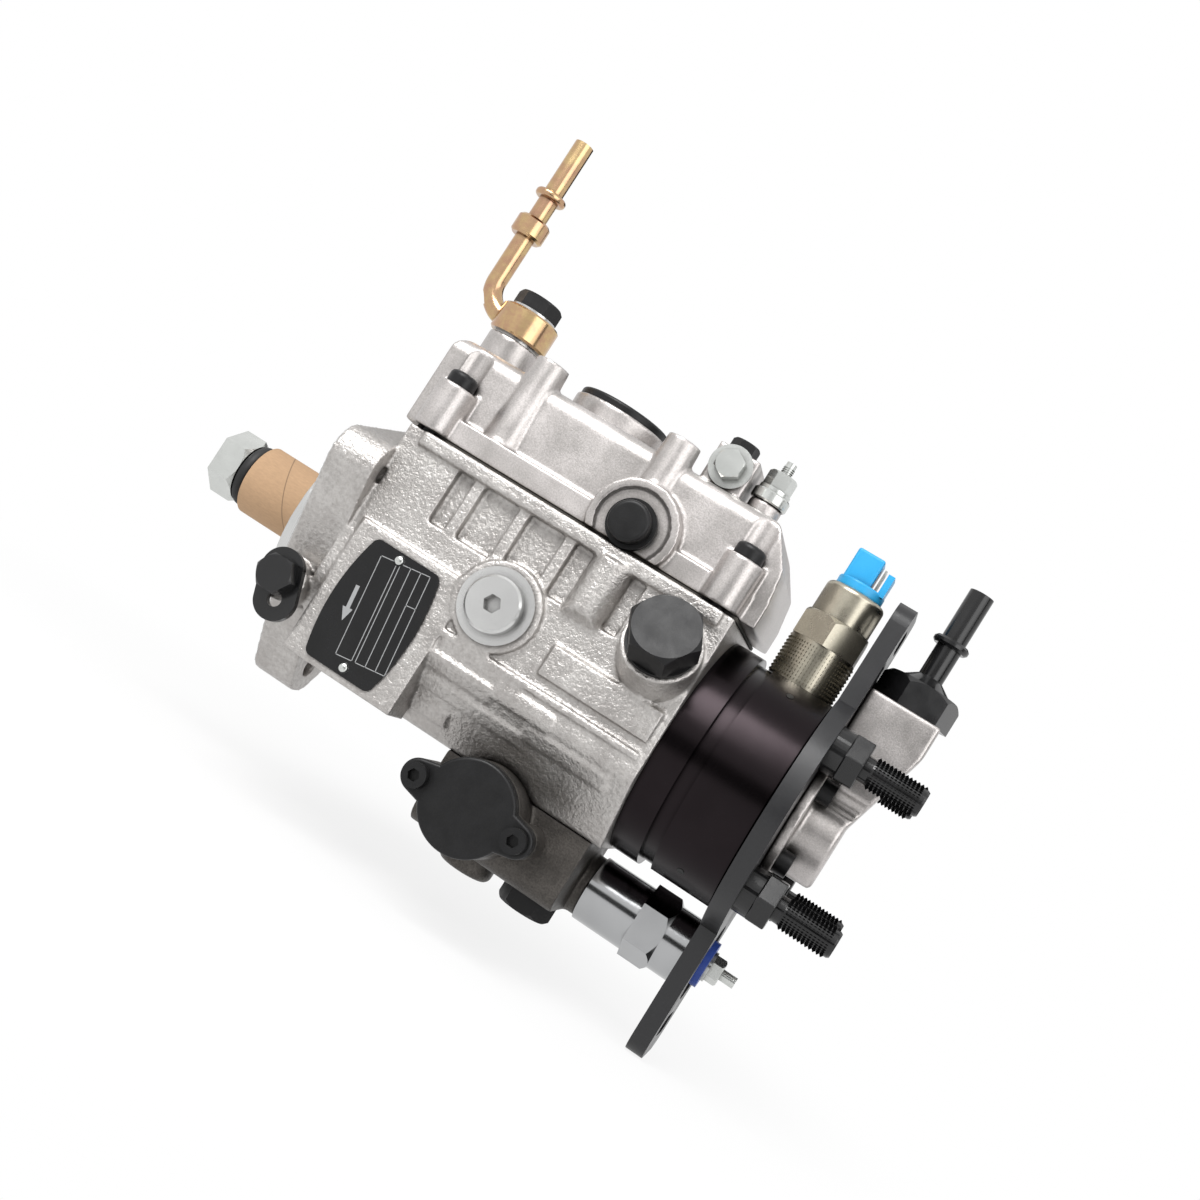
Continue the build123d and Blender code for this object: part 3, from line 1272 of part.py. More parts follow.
# ================================================================ drive end
def make_drive_shaft():
    """Drive shaft: thread, taper, journal, sleeve guide and driving tongue."""
    thread = along_x(shaft_thread_r, shaft_thread_x0, shaft_taper_x0)
    thread = chamfer(thread.edges().filter_by(GeomType.CIRCLE).sort_by(Axis.X)[0], 1.2)
    taper = Location((shaft_taper_x0, 0, 0), (0, 90, 0)) * Cone(
        shaft_taper_r0, shaft_r, shaft_taper_x1 - shaft_taper_x0,
        align=(Align.CENTER, Align.CENTER, Align.MIN))
    journal = along_x(shaft_r, shaft_taper_x1, carrier_x0)
    guide = along_x(shaft_guide_r, carrier_x0, shaft_drive_x0)
    drive = along_x(shaft_drive_r, shaft_drive_x0, shaft_end_x)
    slot_w = rotor_tongue_w + 2 * running_gap
    drive -= block(shaft_end_x - rotor_tongue_len, shaft_end_x + 1, -30, 30, -slot_w / 2, slot_w / 2)
    shaft = thread + taper + journal + guide + drive
    return shaft - key_room()


def key_location():
    """Start of the key seat on the taper."""
    x = shaft_taper_x0 + 9.0
    slope = (shaft_r - shaft_taper_r0) / (shaft_taper_x1 - shaft_taper_x0)
    return x, shaft_taper_r0 + slope * 9.0


def key_room():
    """Key seat cut in the taper, on top of the shaft."""
    x, r = key_location()
    return block(x, x + key_len, -key_w / 2, key_w / 2, r - 2.5, r + 4)


def make_key():
    """Parallel key in the shaft's taper."""
    x, r = key_location()
    return block(x, x + key_len, -key_w / 2, key_w / 2, r - 2.5, r + key_proud - 0.8)


def make_shaft_nut():
    """Hexagon nut on the shaft's thread."""
    nut = toward_plus_x(nut_x0, 0, 0) * hex_prism(nut_af, nut_x1 - nut_x0, 0)
    return nut - along_x(shaft_thread_r, nut_x0 - 1, nut_x1 + 1)


def make_shaft_oring():
    """Rubber ring between the nut and the card tube."""
    x = nut_x1 + oring_wire_r
    ring = Location((x, 0, 0), (0, 90, 0)) * Torus(oring_r, oring_wire_r)
    return ring - along_x(shaft_thread_r, nut_x1 - 5, nut_x1 + 12)


def make_transit_tube():
    """Card tube that protects the shaft's taper."""
    return ring_along_x(tube_r, tube_r - tube_wall, tube_x0, tube_x1)


def make_seal():
    """Lip seal of the drive shaft."""
    ring = ring_along_x(seal_outer_r, shaft_r + running_gap, seal_x0, seal_x1)
    return ring - ring_along_x(seal_outer_r - 3, shaft_r + 2.2, seal_x0 + 3, seal_x1 + 1)


def make_bush():
    """Bronze bearing bush of the drive shaft."""
    return ring_along_x(bush_outer_r, shaft_r + running_gap, bush_x0, bush_x1)


def weight_angles():
    """Angular places of the four flyweights."""
    return [45 + 90 * n for n in range(weight_count)]


def make_carrier():
    """Weight retainer: a disc with arms between the flyweights."""
    disc = along_x(carrier_r, carrier_x0 + free_gap, carrier_x0 + carrier_t)
    x1 = carrier_x0 + carrier_t
    arm = block(x1 - 1, x1 + carrier_arm_len, 16, carrier_r - 2, -carrier_arm_t / 2,
                carrier_arm_t / 2)
    arms = Part()
    for n in range(weight_count):
        arms += Rot(90 * n, 0, 0) * arm
    cage = disc + arms
    return cage - along_x(shaft_guide_r, 0, 200) - along_x(shaft_r, 0, carrier_x0)


def weight_at_top():
    """One flyweight at the +Z place, toe resting on the thrust sleeve."""
    half = weight_width / 2
    body = block(weight_x0, weight_x0 + weight_len, -half, half, weight_inner_r, weight_outer_r)
    body &= along_x(weight_outer_r, 0, 200)
    toe = block(weight_x0, weight_x0 + weight_toe_t, -weight_toe_w / 2, weight_toe_w / 2,
                weight_toe_r, weight_inner_r + 1)
    return body + toe


def make_flyweight(number):
    """Flyweight by number, turned to its place about the shaft."""
    return Rot(weight_angles()[number] - 90, 0, 0) * weight_at_top()


def make_sleeve():
    """Thrust sleeve that slides on the shaft."""
    x0, x1 = sleeve_x0, sleeve_x0 + sleeve_len
    ring = ring_along_x(sleeve_outer_r, shaft_guide_r + running_gap, x0, x1)
    return ring


def make_rotor():
    """Distributor rotor: head, stem and tail."""
    head = along_x(rotor_head_r, rotor_head_x0, rotor_head_x1)
    tongue_half = rotor_tongue_w / 2
    x = rotor_head_x0
    tongue = block(x - rotor_tongue_len, x + 1, -shaft_drive_r + 2, shaft_drive_r - 2,
                   -tongue_half, tongue_half)
    stem = along_x(rotor_stem_r, rotor_head_x1, head_end_x)
    tail = along_x(rotor_tail_r, head_end_x, head_end_x + liner_len - free_gap)
    rotor = head + tongue + stem + tail
    middle = (cam_x0 + cam_x1) / 2
    rotor -= along_z(plunger_pair_r, -30, 30, middle)
    for side in (-1, 1):
        z0, z1 = sorted((side * shoe_inner_r, side * 30))
        half = roller_len / 2 + 0.5
        rotor -= block(middle - half, middle + half, -shoe_half_w, shoe_half_w, z0, z1)
    return rotor


def make_plungers():
    """Two opposed pumping plungers."""
    middle = (cam_x0 + cam_x1) / 2
    r = plunger_pair_r - running_gap / 2
    return group([along_z(r, 1.0, shoe_inner_r, middle), along_z(r, -shoe_inner_r, -1.0, middle)])


def make_shoes():
    """Roller shoes that slide in the rotor head."""
    middle = (cam_x0 + cam_x1) / 2
    half = roller_len / 2
    shoes = []
    for side in (-1, 1):
        z0, z1 = sorted((side * shoe_inner_r, side * shoe_outer_r))
        shoe = block(middle - half, middle + half, -shoe_half_w + running_gap,
                     shoe_half_w - running_gap, z0, z1)
        shoes.append(shoe - along_x(roller_r, middle - 30, middle + 30, 0, side * roller_circle_r))
    return group(shoes)


def make_rollers():
    """Rollers that follow the cam ring."""
    middle = (cam_x0 + cam_x1) / 2
    half = roller_len / 2
    bars = []
    for side in (-1, 1):
        bars.append(along_x(roller_r, middle - half, middle + half, 0, side * roller_circle_r))
    return group(bars)


def make_cam_ring():
    """Cam ring with four inner lobes."""
    ring = ring_along_x(cam_outer_r, cam_inner_r, cam_x0, cam_x1)
    lobes = Part()
    for angle in (0, 90, 180, 270):
        reach = cam_inner_r - cam_lobe_drop + cam_lobe_r
        y, z = polar(reach, angle + 45)
        lobes += along_x(cam_lobe_r, cam_x0, cam_x1, y, z)
    lobes &= along_x(cam_inner_r + 1, cam_x0, cam_x1)
    ring += lobes
    return ring - along_z(cam_pin_r, -cam_outer_r - 1, -cam_inner_r - 2, advance_x)


def make_cam_pin():
    """Ball-ended pin that joins the cam ring to the advance piston."""
    pin = along_z(cam_pin_r, advance_z, -cam_inner_r - 2, advance_x)
    return pin + Location((advance_x, 0, advance_z)) * Sphere(cam_pin_ball_r)


# ================================================================ governor and controls
def make_governor_arm():
    """Arm that carries the sleeve's thrust to the metering valve."""
    hub = along_y(pivot_pin_r + 2.5, -arm_half_w, arm_half_w, arm_pivot_x, arm_pivot_z)
    x0 = arm_face_x
    blade = block(x0, x0 + arm_t, -arm_half_w, arm_half_w, arm_low_z, arm_pivot_z)
    bridge = block(x0, arm_pivot_x, -arm_half_w, arm_half_w, arm_pivot_z - 1.5, arm_pivot_z + 1.5)
    arm = hub + blade + bridge
    half = arm_half_w + arm_journal_len
    journals = along_y(pivot_pin_r, -half, half, arm_pivot_x, arm_pivot_z)
    return arm + journals - along_x(shaft_guide_r + 1.5, x0 - 1, x0 + arm_t + 1)


def make_metering_valve():
    """Metering valve: ground stem, flat and lever."""
    stem = along_z(metering_r, metering_z0, metering_z1, metering_x, metering_y)
    z = metering_z1
    lever = block(metering_x - 3, metering_x + 3, metering_y - metering_lever_len,
                  metering_y + 4, z, z + metering_lever_t)
    return stem + lever


def make_throttle_shaft():
    """Throttle shaft through the far side of the cover, with its inner crank."""
    y_in = cover_half_w - cover_wall - 4
    y_out = side_boss_y + lever_t + throttle_nut_t
    shaft = along_y(throttle_shaft_r, y_in, side_boss_y + 1, throttle_x, throttle_z)
    shaft += along_y(throttle_shaft_r - 1.5, side_boss_y, y_out, throttle_x, throttle_z)
    crank = block(throttle_x - crank_w / 2, throttle_x + crank_w / 2, y_in - crank_t, y_in,
                  throttle_z - 4, throttle_z + crank_len)
    return shaft + crank


def make_throttle_lever():
    """Throttle lever on the far side."""
    z1 = throttle_z + lever_len
    y0 = side_boss_y + 1
    hub = along_y(lever_hub_r, y0, y0 + lever_t, throttle_x, throttle_z)
    outline = Sketch() + Circle(lever_hub_r) + Pos(0, lever_len) * Circle(lever_tip_r)
    plane = Plane(origin=(throttle_x, y0 + lever_t, throttle_z), x_dir=(1, 0, 0), z_dir=(0, -1, 0))
    arm = extrude(plane * make_hull(outline.edges()), lever_t)
    lever = hub + arm
    lever -= along_y(lever_hole_r, 0, 90, throttle_x, z1)
    return lever - along_y(throttle_shaft_r - 1.5, 0, 90, throttle_x, throttle_z)


def make_throttle_nut():
    """Nut that holds the throttle lever."""
    y0 = side_boss_y + 1 + lever_t
    nut = Location((throttle_x, y0, throttle_z), (-90, 0, 0)) * hex_prism(
        throttle_nut_af, throttle_nut_t - 1)
    return nut - along_y(throttle_shaft_r - 1.5, y0 - 1, y0 + 9, throttle_x, throttle_z)


def make_all():
    """Every node of the pump by name."""
    nodes = {
        "pump_housing": make_housing(),
        "control_cover": make_cover(),
        "gaskets": group([make_gasket(), make_advance_gaskets()]),
        "cover_screws": make_cover_screws(),
        "crown_cap": make_crown_cap(),
        "side_plug": make_side_plug(),
        "vent_screw": group([make_vent_screw(), make_vent_washer()]),
        "stop_screw": make_stop_screw(),
        "adjuster": group([make_adjuster_collar(), make_adjuster_nut(), make_adjuster_stud()]),
        "return_pipe": make_return_pipe(),
        "banjo_bolt": make_banjo_bolt(),
        "banjo_seals": make_banjo_seals(),
        "name_plate": group([make_name_plate(), make_rivets()]),
        "inspection_plug": group([make_inspection_plug(), make_plug_washer()]),
        "head_locating_fitting": group([make_fitting(), make_fitting_washer()]),
        "lock_spacer": make_lock_spacer(),
        "lock_screw": make_lock_screw(),
        "hydraulic_head": make_head(),
        "head_oring": make_head_oring(),
        "solenoid_body": make_solenoid_body(),
        "solenoid_cap": make_solenoid_cap(),
        "solenoid_terminal": make_terminal(),
        "solenoid_plunger": make_solenoid_plunger(),
        "rear_plate": make_rear_plate(),
        "outlet_connectors": make_outlets(),
        "end_plate": make_end_plate(),
        "end_plate_screws": make_end_screws(),
        "inlet_connector": make_inlet(),
        "regulating_piston": make_regulating_piston(),
        "pump_liner": make_liner(),
        "transfer_rotor": group([make_transfer_rotor(), make_blades()]),
        "advance_housing": make_advance_housing(),
        "advance_covers": group([make_advance_cover(-1), make_advance_cover(1)]),
        "advance_cover_screws": make_advance_screws(),
        "advance_piston": make_advance_piston(),
        "advance_bolt": make_advance_bolt(),
        "return_springs": group([make_advance_spring(), make_solenoid_spring(),
                                 make_regulating_spring()]),
        "cold_advance_body": make_cold_body(),
        "cold_advance_insulator": make_cold_insulator(),
        "cold_advance_terminal": make_cold_terminal(),
        "drive_shaft": make_drive_shaft(),
        "shaft_key": make_key(),
        "shaft_nut": make_shaft_nut(),
        "shaft_oring": make_shaft_oring(),
        "transit_tube": make_transit_tube(),
        "shaft_seal": make_seal(),
        "shaft_bush": make_bush(),
        "weight_carrier": make_carrier(),
        "thrust_sleeve": make_sleeve(),
        "distributor_rotor": make_rotor(),
        "pumping_elements": group([make_plungers(), make_shoes(), make_rollers()]),
        "cam_ring": group([make_cam_ring(), make_cam_pin()]),
        "governor_arm": make_governor_arm(),
        "metering_valve": make_metering_valve(),
        "throttle_shaft": make_throttle_shaft(),
        "throttle_lever": group([make_throttle_lever(), make_throttle_nut()]),
    }
    for number in range(weight_count):
        nodes[f"flyweight_{number + 1}"] = make_flyweight(number)
    return nodes


if __name__ == "__main__":
    os.makedirs("parts", exist_ok=True)
    for name, shape in make_all().items():
        export_step(shape, f"parts/{name}.step")
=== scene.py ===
"""Looks of a distributor diesel injection pump: finishes, threads, plate print and cast relief."""

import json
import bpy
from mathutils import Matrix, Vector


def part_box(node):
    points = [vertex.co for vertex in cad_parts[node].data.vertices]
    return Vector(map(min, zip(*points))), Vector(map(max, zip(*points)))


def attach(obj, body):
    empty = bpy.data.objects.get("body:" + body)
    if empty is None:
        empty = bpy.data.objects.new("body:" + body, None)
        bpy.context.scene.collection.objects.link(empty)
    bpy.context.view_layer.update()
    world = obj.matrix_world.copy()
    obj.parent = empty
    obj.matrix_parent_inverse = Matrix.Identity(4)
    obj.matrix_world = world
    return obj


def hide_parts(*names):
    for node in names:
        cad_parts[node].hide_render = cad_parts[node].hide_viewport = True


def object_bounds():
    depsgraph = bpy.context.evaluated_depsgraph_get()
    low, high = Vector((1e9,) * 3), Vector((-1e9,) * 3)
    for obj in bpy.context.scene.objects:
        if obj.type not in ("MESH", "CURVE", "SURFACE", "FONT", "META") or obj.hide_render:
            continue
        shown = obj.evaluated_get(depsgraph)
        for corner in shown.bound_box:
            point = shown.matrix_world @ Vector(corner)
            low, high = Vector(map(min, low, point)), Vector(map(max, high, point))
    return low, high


bl_info = {
    "name": "Diesel Injection Pump",
    "version": (1, 0, 0),
    "blender": (4, 5, 0),
    "location": "View3D > Sidebar > Pump",
    "description": "Dresses the solids of a distributor diesel injection pump",
    "category": "Object",
}

from math import cos, pi, radians, sin

import bmesh
import bpy
from bpy.props import FloatProperty, FloatVectorProperty, IntProperty, PointerProperty
from mathutils import Matrix, Vector

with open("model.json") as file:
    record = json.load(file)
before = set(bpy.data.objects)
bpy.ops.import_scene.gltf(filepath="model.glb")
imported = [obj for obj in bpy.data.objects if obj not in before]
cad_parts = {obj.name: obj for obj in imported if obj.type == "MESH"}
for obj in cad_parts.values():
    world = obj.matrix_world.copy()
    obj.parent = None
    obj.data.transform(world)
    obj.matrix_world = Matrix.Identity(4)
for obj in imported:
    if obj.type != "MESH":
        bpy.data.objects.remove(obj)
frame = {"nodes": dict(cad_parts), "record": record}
CAD_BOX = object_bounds()
MM = 0.001
MOUNTS = {mount["name"]: mount for mount in frame["record"]["mounts"]}

OUTLETS = 4
POINT_WELD = 1e-7           # points of a made piece nearer than this are one, in metres
MESH_WELD = 1e-6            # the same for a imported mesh
SHARP_ANGLE = 1.0           # an edge between faces that turn by more than this is eased, in radians
THREAD_SINK = 0.2           # share of its depth by which a thread's foot is sunk into the core
CREST_FLAT = 0.12           # share of the pitch that is flat at a thread's crest
MOUTH_CHAMFER = 0.6         # share of the thread's depth that is cut off a connector's mouth
SMOOTH_PULL = 0.5           # how far one smoothing pass draws a point to the mean of its neighbours
LOOKS_OUT = -0.999          # a face whose normal's Y is below this looks along -Y
PLANE_DIGITS = 5            # faces whose Y agrees to so many digits of a metre lie in one plane
STRIP_CLIMB = 42 * MM       # climb of the card strip in one turn of the tube
STRIP_TOP = 34 * MM         # from the flange to where the strip's seam crosses the tube's top

# middle of each drive rivet, along the shaft and above it
RIVETS = ((42.5 * MM, 2.6 * MM), (46.5 * MM, -39.6 * MM))

# each casting's softened copy, its finish and its slot
CASTINGS = {
    "pump_housing": ("cast_housing", "blasted_cast_aluminium", "cast_aluminium"),
    "control_cover": ("cast_cover", "die_cast_aluminium", "cast_aluminium"),
    "end_plate": ("cast_end_plate", "die_cast_aluminium", "cast_aluminium"),
    "advance_housing": ("cast_advance_housing", "bare_cast_iron", "cast_iron"),
}

# each lamp's place and width, in metres, and the point they all look at
LAMPS = {"key": ((-0.25, -0.75, 0.9), 0.7), "fill": ((0.9, -0.6, 0.3), 0.9)}
LAMP_AIM = (0.1, 0.0, 0.0)

# each dark card's place, turn about the vertical, and width and height, in metres and radians
CARDS = (
    ((0.25, -0.95, -0.1), 0.1, (0.7, 0.6)),     # on the near side, past the camera
    ((1.15, -0.3, 0.1), 1.3, (0.5, 0.8)),       # off the outlet end
    ((0.1, 0.9, 0.55), 0.0, (1.2, 0.35)),       # high on the far side
)


def linear(code):
    """Linear RGBA of an sRGB hex colour."""
    channels = [int(code[i:i + 2], 16) / 255 for i in (1, 3, 5)]
    return [c / 12.92 if c <= 0.04045 else ((c + 0.055) / 1.055) ** 2.4 for c in channels] + [1.0]


def length(name, description, default):
    """A size that a user can change, in metres."""
    return FloatProperty(name=name, description=description, default=default, unit="LENGTH", precision=5)


def angle(name, description, degrees):
    """An angle that a user can change."""
    return FloatProperty(name=name, description=description, default=radians(degrees), unit="ROTATION")


def colour(name, description, code):
    """A colour that a user can change."""
    return FloatVectorProperty(name=name, description=description, default=linear(code)[:3],
                               size=3, subtype="COLOR", min=0, max=1)


# ================================================================ sizes and colours
class PumpSizes(bpy.types.PropertyGroup):
    """Sizes of the pieces that dress the pump."""
    thread_pitch: length("Thread pitch", "Crest to crest on the outlets and the solenoid's case", 1.5 * MM)
    thread_depth: length("Outlet thread depth", "Depth of the outlet thread below its crest", 0.85 * MM)
    thread_steps: IntProperty(name="Thread steps", description="Steps in one turn of a thread",
                              default=32, min=12, max=96)
    outlet_bore_r: length("Outlet seat radius", "Radius of the cone seat at its mouth", 3.8 * MM)
    drilling_r: length("Drilling radius", "Radius of the drilling through a connector", 2.0 * MM)
    seat_depth: length("Seat depth", "Depth of the cone seat", 4.0 * MM)
    shank_r: length("Shank radius", "Radius of the connector's shank in the head", 3.6 * MM)
    collar_r: length("Collar radius", "Radius of the connector's collar", 9.0 * MM)
    collar_thick: length("Collar thickness", "Thickness of the connector's collar", 5.5 * MM)
    outlet_hex: length("Connector hexagon", "Size across the flats of a connector", 17.5 * MM)
    outlet_hex_thick: length("Connector hexagon thickness", "Thickness of that hexagon", 7.2 * MM)
    hex_bevel: length("Hexagon easing", "How much the hexagon's edges are eased", 0.5 * MM)
    neck_r: length("Neck radius", "Radius of the neck before the thread", 4.9 * MM)
    neck_length: length("Neck length", "Length of that neck", 2.8 * MM)
    print_line: length("Print line width", "Width of the lines on the name plate", 0.3 * MM)
    print_x: length("Print X", "Left end of the print's top edge", 35.6 * MM)
    print_top: length("Print top", "Height of the print's top edge", 0.9 * MM)
    print_lean: angle("Print lean", "Lean of the print on the plate", -8.1)
    blank_width: length("Blank width", "Width of the blank frame", 6.8 * MM)
    print_gap: length("Frame gap", "Gap between the two frames", 1.1 * MM)
    grid_width: length("Grid width", "Width of the frame with rows", 12.2 * MM)
    grid_height: length("Grid height", "Height of both frames", 38.4 * MM)
    arrow_x: length("Arrow X", "Place of the arrow's tip along the shaft", 36.4 * MM)
    arrow_z: length("Arrow height", "Height of the arrow's tip", -26.0 * MM)
    arrow_width: length("Arrow width", "Width of the arrow's head", 4.0 * MM)
    arrow_shaft_width: length("Arrow shaft width", "Width of the arrow's shaft", 1.5 * MM)
    arrow_shaft: length("Arrow shaft", "Length of the arrow's shaft", 8.6 * MM)
    arrow_head: length("Arrow head", "Length of the arrow's head", 5.0 * MM)
    case_thread_z: length("Case thread foot", "Height at which the solenoid's thread starts", 41.6 * MM)
    case_thread_r: length("Case thread radius", "Crest radius of the solenoid's thread", 13.45 * MM)
    case_thread_depth: length("Case thread depth", "Depth of the solenoid's thread", 0.6 * MM)
    case_thread_length: length("Case thread length", "Length of the solenoid's thread", 17.0 * MM)
    stud_thread_r: length("Stud thread radius", "Crest radius of the adjuster's thread", 2.3 * MM)
    stud_thread_depth: length("Stud thread depth", "Depth of the adjuster's thread", 0.4 * MM)
    stud_thread_length: length("Stud thread length", "Length of the adjuster's bare thread", 8.5 * MM)
    stud_pitch: length("Stud pitch", "Distance between the stud's thread crests", 0.8 * MM)
    stud_slot: length("Stud slot", "Bare end of the stud at its slot", 0.6 * MM)
    head_plug_x: length("Head plug X", "Place of the head's plugs along the shaft", 181.8 * MM)
    head_plug_angle: angle("Head plug angle", "Rise of each plug from level", 55.0)
    head_plug_r: length("Head plug radius", "Radius of a plug of the head", 1.4 * MM)
    head_plug_height: length("Head plug height", "How far a plug stands off the rim", 0.15 * MM)
    rivet_r: length("Rivet radius", "Radius of a rivet's head", 2.1 * MM)
    rivet_height: length("Rivet height", "Height of a rivet's dome", 1.3 * MM)
    cast_voxel: length("Casting grid", "Grid on which a casting's edges are rounded", 0.75 * MM)
    faced_depth: length("Faced depth", "Reach of the cut finish behind the mounting face", 0.35 * MM)
    cast_rounds: IntProperty(name="Casting rounds", description="Passes that round a casting's edges",
                             default=2, min=0, max=20)
    cast_triangles: IntProperty(name="Casting triangles", description="Most triangles of one casting",
                                default=180000, min=1000, max=195000)
    print_height: length("Print height", "How far the print stands off the plate", 0.05 * MM)


class PumpColours(bpy.types.PropertyGroup):
    """Colours of the pump's finishes."""
    cast: colour("Cast aluminium", "Blasted aluminium casting", "#C2BFBC")
    cover: colour("Die cast aluminium", "Satin skin of the die castings", "#CAC5C3")
    cast_shade: colour("Cast aluminium shade", "Darker mottling of the casting", "#A8A4A1")
    machined: colour("Machined aluminium", "Cut aluminium faces", "#D6D6D5")
    head: colour("Head steel", "Dark heat treated steel", "#2A2527")
    black: colour("Black phosphate", "Black phosphated steel", "#161617")
    plate: colour("Black plate", "Black coated support plate", "#1E1E20")
    zinc: colour("Bright zinc", "Bright zinc plating", "#D2D4D1")
    solenoid: colour("Solenoid case", "Dull zinc plated case", "#B7B1A1")
    pipe: colour("Yellow passivate", "Yellow passivated steel", "#C9AE80")
    pipe_tint: colour("Passivate tint", "Pink sheen in the yellow passivate", "#B89178")
    card: colour("Kraft card", "Wound kraft card", "#C4A17E")
    blue: colour("Blue nylon", "Blue moulded nylon", "#2AA3DC")
    royal: colour("Royal blue nylon", "Insulator of the cold advance", "#3350A6")
    iron: colour("Cast iron", "Bare cast iron", "#57534F")
    steel: colour("Ground steel", "Ground steel", "#B4B5B6")
    bronze: colour("Sintered bronze", "Oil filled bronze", "#A8793F")
    rubber: colour("Nitrile rubber", "Moulded black rubber", "#161616")
    sheet: colour("Gasket sheet", "Fibre gasket", "#4A4741")
    print: colour("Plate print", "Bare metal lines of the plate", "#A9AAAB")


class PumpStage(bpy.types.PropertyGroup):
    """Camera, light and floor."""
    camera_x: length("Camera X", "Camera place along the shaft", 226.3 * MM)
    camera_y: length("Camera Y", "Camera place across the shaft", -565.0 * MM)
    camera_z: length("Camera Z", "Camera height above the shaft", 3.66 * MM)
    yaw: angle("Yaw", "Camera turn about the vertical", 12.56)
    pitch: angle("Pitch", "Camera tilt upward", 2.66)
    roll: angle("Roll", "Camera turn about its own view line", -32.45)
    lens: FloatProperty(name="Lens", description="Focal length in millimetres", default=46.23)
    key: FloatProperty(name="Key light", description="Power of the key light in watts", default=15.0)
    fill: FloatProperty(name="Fill light", description="Power of the fill light in watts", default=5.0)
    sky: FloatProperty(name="Sky", description="Strength of the soft light all round", default=0.42)
    floor_gap: length("Floor gap", "Height of the pump above the floor", 0.2 * MM)
    floor_half: length("Floor half width", "Half the width of the floor", 6.0)
    shadow_r: length("Shadow radius", "Radius within which the floor keeps its whole shadow", 0.12)
    white_r: length("White radius", "Radius from which the floor is pure white", 0.38)
    floor_glow: FloatProperty(name="Floor glow", description="Share of pure white in the floor's shadow",
                              default=0.82, min=0, max=1)


# ================================================================ materials
def add_node(tree, kind, options=None, inputs=None):
    """Adds one shader node with its settings, and links or values on its inputs."""
    node = tree.nodes.new(kind)
    for key, value in (options or {}).items():
        setattr(node, key, value)
    for key, value in (inputs or {}).items():
        if isinstance(value, bpy.types.NodeSocket):
            tree.links.new(value, node.inputs[key])
        else:
            node.inputs[key].default_value = value
    return node


def new_material(name):
    """An empty material, its tree, shader and object coordinates."""
    material = bpy.data.materials.new(name)
    material.use_nodes = True
    tree = material.node_tree
    shader = tree.nodes["Principled BSDF"]
    place = add_node(tree, "ShaderNodeTexCoord").outputs["Object"]
    return material, tree, shader, place


def rgba(colour_value):
    """Four channels from a colour setting."""
    return (*colour_value, 1.0)


def darker(colour_value, share):
    """A colour setting with each channel cut to a share of itself."""
    return [channel * share for channel in colour_value]


def seen_by(tree, *kinds):
    """A value of 1 where the ray is of one of these kinds."""
    rays = add_node(tree, "ShaderNodeLightPath")
    value = rays.outputs[kinds[0]]
    for kind in kinds[1:]:
        either = add_node(tree, "ShaderNodeMath", {"operation": "MAXIMUM"}, {
            0: value, 1: rays.outputs[kind]})
        value = either.outputs[0]
    return value


def shaded_and_grimed(tree, colour_socket, reach_mm, strength):
    """The colour darkened where the surface is hemmed in: painted shade in the recesses, in the tint of
    oily dust.
    """
    open_sky = add_node(tree, "ShaderNodeAmbientOcclusion", {"samples": 8}, {"Distance": reach_mm * MM})
    # full painted shade below a quarter of open sky, none above 0.85 of it, tinted the warm grey of oily
    # dust
    hemmed = add_node(tree, "ShaderNodeMapRange", inputs={
        "Value": open_sky.outputs["AO"], "From Min": 0.25, "From Max": 0.85,
        "To Min": strength, "To Max": 0.0})
    dark = add_node(tree, "ShaderNodeMix", {"data_type": "RGBA", "blend_type": "MULTIPLY"}, {
        0: hemmed.outputs["Result"], 6: colour_socket, 7: linear("#4A4540")})
    return dark.outputs[2]


def grained(name, light, shade, *, metallic, roughness, grain_mm, bump_mm, patch_mm, swing=0.08,
            specular=0.5, shade_and_grime=0.7):
    """The name and material of a surface with fine grain in its relief and broad patches in its tone."""
    material, tree, shader, place = new_material(name)
    patch = add_node(tree, "ShaderNodeTexNoise", inputs={
        "Vector": place, "Scale": 1 / (patch_mm * MM), "Detail": 4.0, "Roughness": 0.6})
    grain = add_node(tree, "ShaderNodeTexNoise", inputs={
        "Vector": place, "Scale": 1 / (grain_mm * MM), "Detail": 3.0, "Roughness": 0.65})
    both = add_node(tree, "ShaderNodeMath", {"operation": "MULTIPLY"}, {
        0: patch.outputs["Fac"], 1: grain.outputs["Fac"]})
    # the tone swings between 0.14 and 0.36 of the two noises' product, the gloss over 0.3 to 0.7 of one
    spread = add_node(tree, "ShaderNodeMapRange", inputs={
        "Value": both.outputs[0], "From Min": 0.14, "From Max": 0.36})
    tone = add_node(tree, "ShaderNodeMix", {"data_type": "RGBA"}, {
        0: spread.outputs["Result"], 6: rgba(shade), 7: rgba(light)})
    gloss = add_node(tree, "ShaderNodeMapRange", inputs={
        "Value": patch.outputs["Fac"], "From Min": 0.3, "From Max": 0.7,
        "To Min": roughness - swing, "To Max": roughness + swing})
    bump = add_node(tree, "ShaderNodeBump", inputs={
        "Height": grain.outputs["Fac"], "Distance": bump_mm * MM, "Strength": 1.0})
    # painted shade in the recesses, tinted as oily dust
    shaded_and_grimy = shaded_and_grimed(tree, tone.outputs[2], reach_mm=4.0, strength=shade_and_grime)
    tree.links.new(shaded_and_grimy, shader.inputs["Base Color"])
    tree.links.new(gloss.outputs["Result"], shader.inputs["Roughness"])
    tree.links.new(bump.outputs["Normal"], shader.inputs["Normal"])
    shader.inputs["Metallic"].default_value = metallic
    shader.inputs["Specular IOR Level"].default_value = specular
    return name, material


